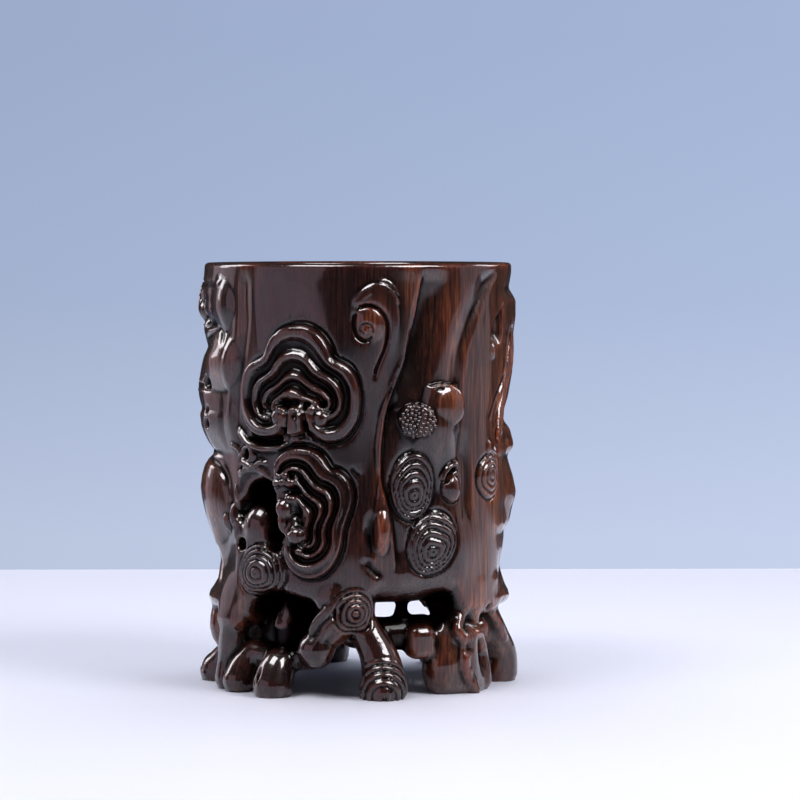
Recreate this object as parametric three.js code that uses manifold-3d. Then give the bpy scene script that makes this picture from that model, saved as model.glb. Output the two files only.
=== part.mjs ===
// Carved hardwood brush pot in the form of an old tree trunk standing on its roots.
// Millimetres, +Z up, origin on the ground at the centre of the bounding box's base.
// The bore stops at a ledge above the roots; a turned floor board drops in from above and
// rests on it, and a round plug closes the hole at its centre.
import * as THREE from "three";
import { mergeVertices } from "three/addons/utils/BufferGeometryUtils.js";
import Module from "manifold-3d";

const HEIGHT = 160; // rim above the ground
const RIM_R = 58.2; // outer radius at the rim
const REF_R = 56; // radius at which arc length s is measured round the trunk
const BORE_R = 45; // bore for the brushes
const FLOOR_TOP = 43; // inner floor above the ground
const BOARD_T = 7; // floor board thickness
const FIT = 0.3; // gap kept between fitted pieces
const BOARD_R = BORE_R - FIT; // floor board radius, a close fit in the bore
const LEDGE_TOP = FLOOR_TOP - BOARD_T - FIT; // ledge that carries the floor board
const LEDGE_R = 38; // inner radius of the ledge and of the ring of roots under it
const PLUG_R = 9; // centre plug radius, shank
const PLUG_HEAD_R = 11; // centre plug radius, lower shoulder
const SKIRT = 29; // lower edge of the trunk wall
const WINDOW = [4, 30, 35.2]; // front window under the wall: x from, x to, top
const SEG = 72; // divisions round the trunk
const ROWS = 30; // divisions up the trunk

// Folds and swellings of the trunk: s (arc mm from the front, + to the right), z, half widths, height.
const SWELLS = [
  [-80, 122, 17, 11, 3.4], [-80, 101, 18, 13, 4.2], [-86, 72, 14, 19, 4.4], [-88, 142, 10, 11, 2.6],
  [86, 62, 12, 16, 3.6], [84, 92, 8, 8, 2.4], [88, 140, 14, 20, 2.2],
  [33, 100, 9, 14, 2.6], [8, 66, 7, 16, 2.4], [24, 78, 9, 12, 1.6],
  [30, 56, 10, 12, 2.0], [50, 84, 10, 40, 1.6], [66, 100, 10, 40, 1.4],
  [0, 130, 16, 26, 0.8], [130, 110, 18, 26, 3.0], [-135, 118, 16, 24, 3.0],
  [170, 76, 18, 24, 3.4], [-120, 70, 14, 20, 3.2], [112, 64, 12, 20, 2.4],
  [-24, 114, 22, 20, 2.4], [-18, 70, 15, 20, 2.4],
];
const HOLLOWS = [
  [22, 128, 7, 34, -4.2], [12, 92, 6, 20, -1.8], [43, 108, 5, 50, -2.4],
  [-46, 140, 8, 22, -1.4], [100, 116, 7, 40, -3.0], [-104, 96, 7, 46, -3.0],
  [150, 100, 7, 50, -3.0], [-152, 90, 7, 46, -2.6], [-38, 66, 10, 12, -6.0],
];

const bump = (u) => (u >= 1 ? 0 : (1 - u) * (1 - u) * (1 + 2 * u));
const TURN = 2 * Math.PI * REF_R;
function outerRadius(s, z) {
  let r = RIM_R - 2.2 * bump(Math.abs(z - 90) / 70);
  const calm = Math.min(1, Math.max(0, (HEIGHT - 1.5 - z) / 14)); // true circle at the rim
  for (const [cs, cz, ws, wz, h] of [...SWELLS, ...HOLLOWS]) {
    let d = s - cs;
    d -= TURN * Math.round(d / TURN);
    r += h * calm * bump(Math.hypot(d / (ws * 1.5), (z - cz) / (wz * 1.5)));
  }
  return r;
}

const wasm = await Module();
wasm.setup();
function solid(geometry) {
  const g = geometry.clone();
  g.deleteAttribute("normal");
  g.deleteAttribute("uv");
  const m = mergeVertices(g, 1e-4);
  return new wasm.Manifold(
    new wasm.Mesh({
      numProp: 3,
      vertProperties: new Float32Array(m.attributes.position.array),
      triVerts: new Uint32Array(m.index.array),
    }),
  );
}
function geometryOf(manifold) {
  const m = manifold.getMesh();
  const g = new THREE.BufferGeometry();
  g.setAttribute("position", new THREE.BufferAttribute(new Float32Array(m.vertProperties), 3));
  g.setIndex(new THREE.BufferAttribute(new Uint32Array(m.triVerts), 1));
  const flat = g.toNonIndexed();
  flat.computeVertexNormals();
  return flat;
}
// A lathe about Z from [r, z] points, bottom to top on the outside.
function lathe(points, segments) {
  const g = new THREE.LatheGeometry(points.map(([r, z]) => new THREE.Vector2(r, z)), segments);
  g.rotateX(Math.PI / 2);
  return g;
}

// Trunk: a lathed billet whose outside is carved by outerRadius.
function trunkBillet() {
  const rows = [];
  rows.push([0, SKIRT]);
  for (let i = 0; i <= ROWS; i++) rows.push([RIM_R, SKIRT + ((HEIGHT - SKIRT) * i) / ROWS]);
  rows.push([0, HEIGHT]);
  const g = lathe(rows, SEG);
  const p = g.attributes.position;
  for (let i = 0; i < p.count; i++) {
    const x = p.getX(i), y = p.getY(i), z = p.getZ(i);
    if (Math.hypot(x, y) < 1) continue;
    const a = Math.atan2(x, -y);
    let r = outerRadius(a * REF_R, z);
    if (z < SKIRT + 6) r -= (2.6 * (SKIRT + 6 - z)) / 6;
    p.setXYZ(i, r * Math.sin(a), -r * Math.cos(a), z);
  }
  return g;
}

// A root: a round limb along [s, radius from the axis, z, limb radius] stations.
const at = (s, r, z) =>
  new THREE.Vector3(r * Math.sin(s / REF_R), -r * Math.cos(s / REF_R), z);
function limb(stations, sides = 10, steps = 9) {
  const curve = new THREE.CatmullRomCurve3(stations.map(([s, r, z]) => at(s, r, z)), false, "centripetal");
  const g = new THREE.CylinderGeometry(1, 1, 1, sides, steps + 2);
  const p = g.attributes.position;
  const v = new THREE.Vector3(), n = new THREE.Vector3(), b = new THREE.Vector3();
  for (let i = 0; i < p.count; i++) {
    const x = p.getX(i), z = p.getZ(i);
    const k = Math.round((p.getY(i) + 0.5) * (steps + 2));
    // the first and last rings close in, so the ends are rounded
    const t = Math.min(1, Math.max(0, (k - 1) / steps));
    const end = k === 0 || k === steps + 2;
    curve.getPoint(t, v);
    const tan = curve.getTangent(t);
    const out = new THREE.Vector3(v.x, v.y, 0).normalize();
    n.crossVectors(tan, out).normalize();
    b.crossVectors(n, tan).normalize();
    const f = t * (stations.length - 1), j = Math.min(stations.length - 2, Math.floor(f));
    const rad = stations[j][3] + (stations[j + 1][3] - stations[j][3]) * (f - j);
    const w = end ? 0.55 * rad : rad;
    if (end) v.addScaledVector(tan, (k === 0 ? -0.5 : 0.5) * rad);
    p.setXYZ(i, v.x + w * (x * n.x + z * b.x), v.y + w * (x * n.y + z * b.y), v.z + w * (x * n.z + z * b.z));
  }
  let m = solid(g);
  if (m.volume() < 0) {
    const idx = g.index.array;
    for (let i = 0; i < idx.length; i += 3) [idx[i + 1], idx[i + 2]] = [idx[i + 2], idx[i + 1]];
    m = solid(g);
  }
  return m;
}

// Feet, from under the wall down to the ground.
const ROOTS = [
  [[0, 49, 38, 7.5], [1, 50.5, 25, 6.5], [7, 51, 13, 7], [8.2, 50.5, 2, 8.8]],
  [[36, 46, 36, 5], [34, 49.4, 24, 7.6], [34, 49.8, 12, 8], [35, 49.6, 2, 8.8]],
  [[48, 49, 40, 8], [44, 50.2, 29, 7], [42.2, 50.2, 18, 7.6], [43, 50, 2, 8.8]],
  [[60, 50, 42, 7], [55, 51.4, 24, 5.6], [56.4, 52.6, 12, 5.2], [56.4, 52.6, 2, 6]],
  [[62, 49, 40, 8], [69, 50.5, 30, 6], [76, 52, 20, 5.8], [82, 53, 11, 6], [84, 52.2, 2, 7.2]],
  [[-34, 48.5, 32, 5], [-32.5, 49.5, 20, 6], [-33.4, 51.5, 10, 7.2], [-33.6, 52.4, 2, 7.6]],
  [[-48, 49, 18, 5.6], [-49.5, 51.6, 10, 6], [-50, 51.8, 2, 6.6]],
  [[-57, 49.5, 46, 7.5], [-56, 52, 34, 6.2], [-57, 52.6, 24, 6.2], [-59.4, 52, 12, 6], [-59.6, 52, 2, 6.8]],
  [[-84, 50, 42, 8], [-86, 52, 24, 7.5], [-88, 52, 12, 7], [-88, 52.6, 2, 8]],
  [[112, 50, 40, 8], [113, 51.5, 22, 7.4], [113.6, 51.5, 12, 7.4], [113.6, 51.6, 2, 8.2]],
  [[134, 50, 42, 8.4], [134.4, 51, 22, 7.6], [135, 51.5, 12, 7.6], [135, 52, 2, 8.4]],
  [[-167, 50, 40, 8], [-167, 51.4, 22, 7.4], [-166.5, 51.5, 12, 7.6], [-166.5, 52, 2, 8.2]],
  [[-142, 50, 42, 8], [-143, 51, 22, 7.6], [-142, 51.5, 12, 7.6], [-141.4, 52, 2, 8.4]],
  [[-114, 50, 42, 8], [-113.4, 51.4, 22, 7.4], [-114, 51.4, 12, 7.8], [-115, 51.4, 2, 8.6]],
];
// Runners: roots that cross from foot to foot above the ground.
const RUNNERS = [
  [[-1, 52, 34, 8.5], [-9, 53, 27, 7], [-17, 53, 19, 6.5], [-30, 50, 15, 6]],
  [[2, 43, 24, 6], [14, 43, 23, 5.5], [26, 43, 23, 5.5], [36, 43, 24, 6]],
  [[19.6, 43.5, 26, 3], [20, 44, 31, 2.8], [20.4, 44.8, 37, 4]],
  [[12, 51, 17.5, 4.5], [20, 51, 17.5, 5.5], [28, 50, 18, 6.5], [36, 48, 18, 7]],
  [[-30, 50, 15, 6], [-44, 51, 15, 6], [-55, 50, 16, 6.5]],
  [[40, 48, 22, 6], [50, 49, 24, 5.5], [58, 50, 24, 5.5]],
  [[84, 50, 18, 5.5], [98, 49, 17, 5.5], [113, 49, 18, 5.5]],
  [[113, 49, 18, 5.5], [124, 49, 17, 5.5], [134, 49, 18, 5.5]],
  [[-167, 49, 18, 5.5], [-155, 49, 17, 5.5], [-142, 49, 18, 5.5]],
  [[-114, 49, 18, 5.5], [-100, 49, 17, 5.5], [-88, 50, 18, 5.5]],
];

let trunk = solid(trunkBillet());
if (trunk.volume() < 0) throw new Error("billet inside out");
// The wall stops higher over the front window.
trunk = trunk.subtract(
  solid(new THREE.BoxGeometry(WINDOW[1] - WINDOW[0], 30, 20).translate((WINDOW[0] + WINDOW[1]) / 2, -51, WINDOW[2] - 10)),
);
for (const r of [...ROOTS, ...RUNNERS]) trunk = trunk.add(limb(r));
trunk = trunk.subtract(
  solid(lathe([[0, LEDGE_TOP], [BORE_R, LEDGE_TOP], [BORE_R, HEIGHT - 1], [BORE_R + 1.2, HEIGHT + 1], [0, HEIGHT + 1]], 48)),
);
trunk = trunk.subtract(solid(lathe([[0, -5], [LEDGE_R, -5], [LEDGE_R, LEDGE_TOP + 1], [0, LEDGE_TOP + 1]], 48)));
trunk = trunk.subtract(solid(new THREE.BoxGeometry(200, 200, 20).translate(0, 0, -10)));

let board = solid(lathe([[0, FLOOR_TOP - BOARD_T], [BOARD_R, FLOOR_TOP - BOARD_T], [BOARD_R, FLOOR_TOP], [0, FLOOR_TOP]], 48));
const plugHole = lathe([[0, FLOOR_TOP - BOARD_T - 1], [PLUG_HEAD_R + FIT, FLOOR_TOP - BOARD_T - 1], [PLUG_HEAD_R + FIT, FLOOR_TOP - BOARD_T + 3], [PLUG_R + FIT, FLOOR_TOP - BOARD_T + 3], [PLUG_R + FIT, FLOOR_TOP + 1], [0, FLOOR_TOP + 1]], 32);
board = board.subtract(solid(plugHole));

function piece(name, geometry, color, roughness) {
  const mesh = new THREE.Mesh(
    geometry,
    new THREE.MeshStandardMaterial({ color, roughness, metalness: 0 }),
  );
  mesh.name = name;
  return mesh;
}
const pot = new THREE.Group();
pot.add(piece("carved_trunk", geometryOf(trunk), 0x2b1610, 0.22));
pot.add(piece("floor_board", geometryOf(board), 0x3a2014, 0.35));
pot.add(
  piece(
    "centre_plug",
    lathe([[0, FLOOR_TOP - BOARD_T], [PLUG_HEAD_R, FLOOR_TOP - BOARD_T], [PLUG_HEAD_R, FLOOR_TOP - BOARD_T + 2.7], [PLUG_R, FLOOR_TOP - BOARD_T + 2.7], [PLUG_R, FLOOR_TOP], [0, FLOOR_TOP]], 32),
    0x3a2014,
    0.35,
  ),
);
export default pot;
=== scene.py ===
import math

import bpy
import numpy as np
from mathutils import Matrix, Vector


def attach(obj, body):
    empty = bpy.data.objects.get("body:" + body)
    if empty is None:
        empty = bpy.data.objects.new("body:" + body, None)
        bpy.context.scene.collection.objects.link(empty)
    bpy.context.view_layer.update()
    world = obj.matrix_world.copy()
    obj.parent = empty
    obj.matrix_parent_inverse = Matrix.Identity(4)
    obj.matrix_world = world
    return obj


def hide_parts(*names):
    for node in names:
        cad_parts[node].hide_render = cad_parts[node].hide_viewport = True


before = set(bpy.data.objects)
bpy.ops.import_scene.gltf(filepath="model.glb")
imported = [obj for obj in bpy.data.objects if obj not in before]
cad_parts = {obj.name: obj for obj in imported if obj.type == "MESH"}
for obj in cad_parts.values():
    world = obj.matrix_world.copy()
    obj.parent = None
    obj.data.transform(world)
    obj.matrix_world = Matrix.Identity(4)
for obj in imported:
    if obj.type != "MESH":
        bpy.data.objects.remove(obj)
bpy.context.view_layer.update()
scene = bpy.context.scene

# ---------------------------------------------------------------- camera
F_PX, DIST, CAM_Z, AXIS_X, HORIZON = 3213.0, 1.230, 0.172, 359.0, 231.0
cam_data = bpy.data.cameras.new("camera")
cam = bpy.data.objects.new("camera", cam_data)
scene.collection.objects.link(cam)
scene.camera = cam
cam_data.sensor_width = 36.0
cam_data.lens = 36.0 * F_PX / 800.0
cam_data.clip_start, cam_data.clip_end = 0.01, 50.0
pitch, yaw = math.atan((400 - HORIZON) / F_PX), math.atan((400 - AXIS_X) / F_PX)
cam.location = (0, -DIST, CAM_Z)
look = Vector((math.sin(yaw) * math.cos(pitch), math.cos(yaw) * math.cos(pitch), -math.sin(pitch)))
cam.rotation_mode = "QUATERNION"
cam.rotation_quaternion = look.to_track_quat("-Z", "Y")

# ---------------------------------------------------------------- the carved surface
# Everything here is in millimetres. s is arc length round the trunk at REF_R, 0 at the front,
# + to the right as seen from the front.
HEIGHT, RIM_R, REF_R = 160.0, 58.2, 56.0
BORE_R, FLOOR_TOP, BOARD_T, FIT, LEDGE_R = 45.0, 43.0, 7.0, 0.3, 38.0
LEDGE_TOP = FLOOR_TOP - BOARD_T - FIT
TURN = 2 * math.pi * REF_R
VOX = 0.5
DS = 0.25


def curve(points, n=60, closed=False):
    """A smooth line through points (Catmull-Rom), as an array."""
    p = np.array(points, float)
    k = len(p)
    out = []
    spans = k if closed else k - 1
    per = max(2, int(n / spans))
    for i in range(spans):
        if closed:
            a, b, c, d = p[(i - 1) % k], p[i], p[(i + 1) % k], p[(i + 2) % k]
        else:
            b, c = p[i], p[i + 1]
            a = p[i - 1] if i else 2 * b - c
            d = p[i + 2] if i + 2 < k else 2 * c - b
        t = (np.arange(per) / per)[:, None]
        out.append(0.5 * (2 * b + (c - a) * t + (2 * a - 5 * b + 4 * c - d) * t**2 + (3 * b - a - 3 * c + d) * t**3))
    out.append(p[:1] if closed else p[-1:])
    return np.concatenate(out)


def smooth(x):
    x = np.clip(x, 0, 1)
    return x * x * (3 - 2 * x)


def bump(u):
    u = np.clip(u, 0, 1)
    return (1 - u) ** 2 * (1 + 2 * u)


def nearest(p, s, z, reach=1e9):
    """Distance, side (+ to the right when going down) and share along a polyline, over a grid."""
    best = np.full(s.shape, 1e9)
    side = np.zeros(s.shape)
    share = np.zeros(s.shape)
    seg = np.hypot(*(p[1:] - p[:-1]).T)
    cum = np.concatenate([[0], np.cumsum(seg)])
    for k in range(len(p) - 1):
        a, d = p[k], p[k + 1] - p[k]
        L2 = max(d @ d, 1e-9)
        m = (np.abs(s - (a[0] + d[0] / 2)) < reach + abs(d[0])) & (np.abs(z - (a[1] + d[1] / 2)) < reach + abs(d[1]))
        if not m.any():
            continue
        ss, zz = s[m], z[m]
        t = np.clip(((ss - a[0]) * d[0] + (zz - a[1]) * d[1]) / L2, 0, 1)
        dx, dz = ss - a[0] - t * d[0], zz - a[1] - t * d[1]
        dist = np.hypot(dx, dz)
        old = best[m]
        near = dist < old
        best[m] = np.where(near, dist, old)
        side[m] = np.where(near, np.sign(d[0] * dz - d[1] * dx), side[m])
        share[m] = np.where(near, (cum[k] + t * seg[k]) / cum[-1], share[m])
    return best, side, share


def within(poly, s, z):
    """True inside a closed outline."""
    inside = np.zeros(s.shape, bool)
    x0, y0 = poly[-1]
    for x1, y1 in poly:
        if y0 != y1:
            inside ^= ((z >= min(y0, y1)) & (z < max(y0, y1))) & (s < (x1 - x0) * (z - y0) / (y1 - y0) + x0)
        x0, y0 = x1, y1
    return inside


class Relief:
    """The outer radius over (s, z), carved feature by feature."""

    def __init__(self):
        self.ns = int(round(TURN / DS))
        self.ds = TURN / self.ns
        self.nz = int(HEIGHT / DS) + 8
        self.h = np.zeros((self.nz, self.ns))
        z = np.arange(self.nz) * DS
        self.h += (RIM_R - 2.2 * bump(np.abs(z - 90) / 70))[:, None]
        self.calm = smooth((HEIGHT - 1.2 - z) / 6.5)[:, None]

    def window(self, s0, s1, z0, z1):
        i0, i1 = int(math.floor(s0 / self.ds)), int(math.ceil(s1 / self.ds))
        i1 = min(i1, i0 + self.ns - 1)
        j0, j1 = max(0, int(z0 / DS)), min(self.nz - 1, int(math.ceil(z1 / DS)))
        si = np.arange(i0, i1 + 1)
        zi = np.arange(j0, j1 + 1)
        s, z = np.meshgrid(si * self.ds, zi * DS)
        return np.ix_(zi, si % self.ns), s, z

    def add(self, where, value):
        self.h[where] += value * self.calm[where[0][:, 0]]

    def swell(self, cs, cz, ws, wz, height, p=1.5):
        w, s, z = self.window(cs - ws * p, cs + ws * p, cz - wz * p, cz + wz * p)
        self.add(w, height * bump(np.hypot((s - cs) / (ws * p), (z - cz) / (wz * p))))

    def ball(self, cs, cz, rs, rz, top, full=1.0):
        """A round boss whose top stands at radius top."""
        w, s, z = self.window(cs - rs, cs + rs, cz - rz, cz + rz)
        d = np.hypot((s - cs) / rs, (z - cz) / rz)
        dome = top - min(rs, rz) * full * (1 - np.sqrt(np.clip(1 - d**2, 0, 1)))
        self.h[w] = np.where(d < 1, np.maximum(self.h[w], dome), self.h[w])

    def line(self, pts, reach, n=60, closed=False):
        p = curve(pts, n, closed)
        lo, hi = p.min(0) - reach, p.max(0) + reach
        w, s, z = self.window(lo[0], hi[0], lo[1], hi[1])
        return (w, *nearest(p, s, z, reach))

    def bead(self, pts, width, height, n=60, taper=0.12, closed=False, sharp=1.0):
        """A rounded ridge (or groove, if height is negative) along a line."""
        w, d, side, t = self.line(pts, width * 1.2, n, closed)
        prof = np.clip(1 - (d / width) ** 2, 0, 1) ** sharp
        ends = 1.0 if closed or taper <= 0 else smooth(t / taper) * smooth((1 - t) / taper)
        self.add(w, height * prof * ends)

    def fold(self, pts, low, drop, drop_w, steep=2.4, lip=0.5, lip_w=2.0, n=80, taper=0.08):
        """A branch edge, traced downwards: the ground falls by drop on its low side (+1 right, -1 left)."""
        w, d, side, t = self.line(pts, drop_w * 1.05, n)
        ends = smooth(t / taper) * smooth((1 - t) / taper)
        q = d * side * low
        fall = np.where(q > -steep / 2, bump(np.clip(q, 0, None) / drop_w) * smooth((q + steep / 2) / steep), 0)
        self.add(w, ends * (lip * np.exp(-(((q + steep * 0.7) / lip_w) ** 2)) - drop * fall))

    def knot(self, cs, cz, rx, rz, rings, height, ridge=0.9, rot=0.0, off=(0, 0), moat=0.5, lean=0.35, start=0.0):
        """A healed knot: a low dome, higher at its top, made of stacked rings."""
        R = max(rx, rz) * 1.3
        w, s, z = self.window(cs - R, cs + R, cz - R, cz + R)
        c, n = math.cos(rot), math.sin(rot)
        u, v = (s - cs) * c + (z - cz) * n, -(s - cs) * n + (z - cz) * c
        d = np.hypot(u / rx, v / rz)
        u2, v2 = u - off[0] * rx * (1 - np.clip(d, 0, 1)), v - off[1] * rz * (1 - np.clip(d, 0, 1))
        ang = np.arctan2(v2, u2)
        e = np.hypot(u2 / rx, v2 / rz) * (1 + 0.03 * np.sin(3 * ang + 1.0 + cs) + 0.02 * np.sin(5 * ang + cz))
        dome = height * (1 + lean * v / rz) * np.clip(1 - d**2, 0, 1) ** 0.6
        # broad rings outside, and finer, shallower ones round the heart
        ph = np.where(e > 0.46, (e - 0.46) / 0.54 * rings, e / 0.46 * 2.0)
        fr = ph - np.floor(ph)
        # each ring swells outwards and drops sharply into the next groove, like overlapping shells
        wave = np.where(fr < 0.70, smooth((fr + 0.12) / 0.5), smooth((1 - fr) / 0.30)) ** 0.8
        wave = np.where(ph < start, 1.0, wave)
        edge = smooth((1.02 - e) / 0.05)
        steps = (1 + 0.3 * np.clip(v / rz, -1, 1)) * np.where(e > 0.46, 1.0, 0.55)
        self.add(w, dome + ridge * steps * (wave - 1) * edge - moat * np.exp(-(((d - 1.05) / 0.06) ** 2)))

    def head(self, shape, cs, cz, size=1.0, rot=0.0, flip=1, plate=3.0, amp=1.0, dish=1.4):
        """A lingzhi head from its traced lines: crests and the furrows between them."""
        c, n = math.cos(rot), math.sin(rot)
        os, oz = shape["centre"]

        def place(pts):
            out = []
            for p in pts:
                u, v = (p[0] - os) * size * flip, (p[1] - oz) * size
                out.append((cs + u * c - v * n, cz + u * n + v * c))
            return out

        edge = curve(place(shape["edge"]), 200, True)
        lo, hi = edge.min(0) - 5, edge.max(0) + 5
        w, s, z = self.window(lo[0], hi[0], lo[1], hi[1])
        d, _, _ = nearest(edge, s, z)
        q = np.where(within(edge, s, z), d, -d)
        dc = np.full(s.shape, 1e9)
        for l in shape["crests"]:
            dc = np.minimum(dc, nearest(curve(place(l), 60), s, z)[0])
        dg = np.full(s.shape, 1e9)
        for l in shape["furrows"]:
            dg = np.minimum(dg, nearest(curve(place(l), 60), s, z)[0])
        x = (dg - dc) / (dg + dc + 1e-6)
        wave = 2 * (0.5 + 0.5 * np.sin(math.pi / 2 * x)) ** 1.35 - 1
        k = max(size, 0.55)
        lift = plate * smooth((q + 0.3 * k) / (1.3 * k)) - dish * smooth((q - 4 * size) / (9 * size))
        lift += amp * k * np.where(q > 0, wave * smooth((q - 0.6 * size) / (1.4 * size)), 0)
        lift -= 0.5 * np.exp(-(((q + 0.8) / 0.6) ** 2))
        self.add(w, lift)
        for l in shape.get("lips", []):
            self.bead(place(l), 0.85 * k, 0.6, 90, taper=0.03)
        for l in shape.get("cuts", []):
            self.bead(place(l), 0.6 * k, -0.9, 60, taper=0.1)
        for l, width, height in shape.get("stems", []):
            self.bead(place(l), width * size, height * k, 40, taper=0.15)
        for a, b, r1, r2, depth in shape.get("pits", []):
            p = place([(a, b)])[0]
            w2, s2, z2 = self.window(p[0] - 3 * r1, p[0] + 3 * r1, p[1] - 3 * r2, p[1] + 3 * r2)
            u, v = (s2 - p[0]) * c + (z2 - p[1]) * n, -(s2 - p[0]) * n + (z2 - p[1]) * c
            self.add(w2, -depth * k * np.exp(-((u / (r1 * size)) ** 2) - (v / (r2 * size)) ** 2))
        for a, b, r1, r2, up in shape.get("balls", []):
            p = place([(a, b)])[0]
            r1, r2 = r1 * size, r2 * size
            w2, s2, z2 = self.window(p[0] - r1 - r2, p[0] + r1 + r2, p[1] - r1 - r2, p[1] + r1 + r2)
            u, v = (s2 - p[0]) * c + (z2 - p[1]) * n, -(s2 - p[0]) * n + (z2 - p[1]) * c
            dd = np.hypot(u / r1, v / r2)
            base = float(np.median(self.h[w2][dd < 1]))
            dome = base + up * k - min(r1, r2) * (1 - np.sqrt(np.clip(1 - dd**2, 0, 1)))
            self.h[w2] = np.where(dd < 1, np.maximum(self.h[w2], dome), self.h[w2])

    def look(self, s, z):
        x = (s / self.ds) % self.ns
        y = np.clip(z / DS, 0, self.nz - 1.001)
        i = x.astype(int) % self.ns
        fx = x - np.floor(x)
        j = y.astype(int)
        fy = y - j
        k = (i + 1) % self.ns
        h = self.h
        return (h[j, i] * (1 - fx) + h[j, k] * fx) * (1 - fy) + (h[j + 1, i] * (1 - fx) + h[j + 1, k] * fx) * fy


R = Relief()

# Broad swellings and hollows of the trunk.
for f in [
    (-60, 110, 9, 22, 0.6), (84, 142, 10, 9, 2.0), (86, 120, 7, 16, 1.6),
    (31, 96, 9, 14, 2.2), (33, 128, 9, 26, 1.0), (58, 96, 13, 46, 1.6), (8, 66, 7, 16, 0.8),
    (36, 56, 12, 14, 1.8), (0, 128, 16, 24, 0.8), (-8, 56, 16, 18, 1.4), (-28, 116, 24, 22, 0.6),
    (130, 110, 18, 26, 2.0), (-135, 118, 16, 24, 2.0), (170, 76, 18, 24, 2.2), (-120, 70, 14, 20, 2.2),
    (112, 64, 12, 20, 1.8), (150, 140, 14, 14, 1.6), (-160, 130, 12, 18, 1.6),
    (-62, 52, 8, 12, -2.0), (-84, 45, 12, 10, -3.4), (84, 44, 9, 9, -2.0),
    (100, 100, 7, 34, -1.6), (-104, 96, 7, 40, -1.6),
]:
    R.swell(*f)


def lobe(cs, cz, ws, wz, height):
    """An evenly rounded swelling with a crisp edge."""
    w, s, z = R.window(cs - ws * 1.05, cs + ws * 1.05, cz - wz * 1.05, cz + wz * 1.05)
    R.add(w, height * np.clip(1 - ((s - cs) / ws) ** 2 - ((z - cz) / wz) ** 2, 0, 1))


# The swollen limbs at the left outline, one over another, and the one at the right.
R.swell(-80, 101.0, 20, 12.5, 4.6, 1.5)
R.swell(-76, 96.0, 16, 14, 1.6, 1.5)
lobe(-62, 123.4, 13.5, 11.6, 3.9)
lobe(-75, 71.0, 20, 18.5, 4.2)
lobe(-60.5, 144.2, 9.5, 10.4, 2.3)
lobe(-62.5, 153.4, 3.4, 2.8, 0.9)
R.swell(85, 73, 9, 12, 3.2, 1.5)
# the first one is tucked under the limb above it; the second meets it only near the outline
R.bead([(-80, 130.6), (-72, 132.6), (-66, 134.4), (-62, 135.6), (-58.5, 132.5), (-56.6, 128)], 1.5, -0.8, taper=0.2, sharp=2)
R.bead([(-92, 114.0), (-82, 113.6), (-74, 113.4), (-67, 112.0)], 1.7, -1.5, taper=0.3)
R.bead([(-92, 87.6), (-82, 87.2), (-74, 86.4), (-66, 84), (-60, 79), (-57, 72)], 1.5, -1.2, taper=0.25)
# the soft limb between them and the head
R.bead([(-46.5, 150), (-49, 138), (-51.5, 126), (-54, 114), (-56, 100), (-55, 88)], 4.2, 1.0, taper=0.3)

# The body's right edge: it sweeps down from the rim and ends under the drop.
EDGE = [(23.4, 163), (23.2, 154.1), (22.2, 146.8), (21.2, 141.0), (19.9, 135.6), (18.7, 130.3), (17.2, 124.8), (15.0, 119.4), (12.8, 113.9), (11.0, 108.5), (9.6, 103), (8.5, 95.7), (7.9, 88.3), (8.2, 80), (9.8, 72.6), (11.2, 66.3), (12.2, 60), (12.8, 52.7), (12.6, 46)]
EDGE_IN = [(21.4, 150), (20.6, 146.7), (19.4, 139.4), (18.0, 130.8), (15.8, 124.1), (13.2, 118.3), (10.7, 113.2), (8.6, 108.5), (7.1, 103), (6.2, 95.7), (6.1, 88.3), (6.6, 81), (6.2, 75), (5.0, 69), (4.0, 63)]
R.fold(EDGE[:12], +1, 3.2, 12, steep=1.6, lip=0.2, lip_w=1.6, taper=0.22)
R.fold(EDGE[8:], +1, 1.5, 6, steep=1.3, lip=0.25, lip_w=1.2, taper=0.12)
R.bead([(28.7, 170), (28.4, 160), (27.6, 151), (26.6, 145), (25.4, 139), (23.6, 131), (21.6, 123), (19.2, 115), (17.0, 107)], 8.5, -2.1, 90, taper=0.45, sharp=2)
# the ribbon along it, between two creases
R.bead([((a + c) / 2, b) for (a, b), (c, _) in zip(EDGE[5:14], EDGE_IN[3:12])], 1.7, 0.6, taper=0.2)
R.bead(EDGE_IN, 0.8, -0.42, 90, taper=0.12)
# The drop that hangs from it between the ribbon's two lines, with a soft hollow at its left.
w, s, z = R.window(-4, 18, 46, 80)
d = np.hypot((s - 8.2) / 3.1, (z - 61.5) / 8.6)
R.add(w, 2.3 * np.clip(1 - d**2, 0, 1) ** 0.8)
R.swell(4.0, 60.5, 2.4, 7.0, -1.9)
R.bead([(8.2, 79), (9.6, 73), (11.0, 68), (12.0, 61), (12.6, 53), (12.8, 47)], 0.9, 0.5, 60, taper=0.15)
# small creases in the body at its left and under it
R.bead([(-3.5, 86.2), (-1.2, 83.6), (1.2, 82.0)], 1.3, -0.5, 40, taper=0.3, sharp=2)
R.bead([(1.4, 52.2), (3.6, 49.6), (6.6, 46.6), (9.0, 44.2)], 2.6, -1.0, 40, taper=0.3, sharp=2)

# The second column and the edge of the third one over it.
COL3 = [(70, 163), (62.2, 158), (53.4, 150.5), (47.4, 142), (43.5, 134.5), (41.0, 127), (40.0, 117), (39.8, 104), (40.8, 93), (42.6, 84)]
R.fold(COL3, -1, 1.7, 9, steep=4.5, lip=0.1, lip_w=3, taper=0.15)
R.bead([(43, 100), (43.4, 90), (43.6, 80), (43.2, 70), (42.6, 60)], 2.6, -0.9, 60, taper=0.3)
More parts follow.
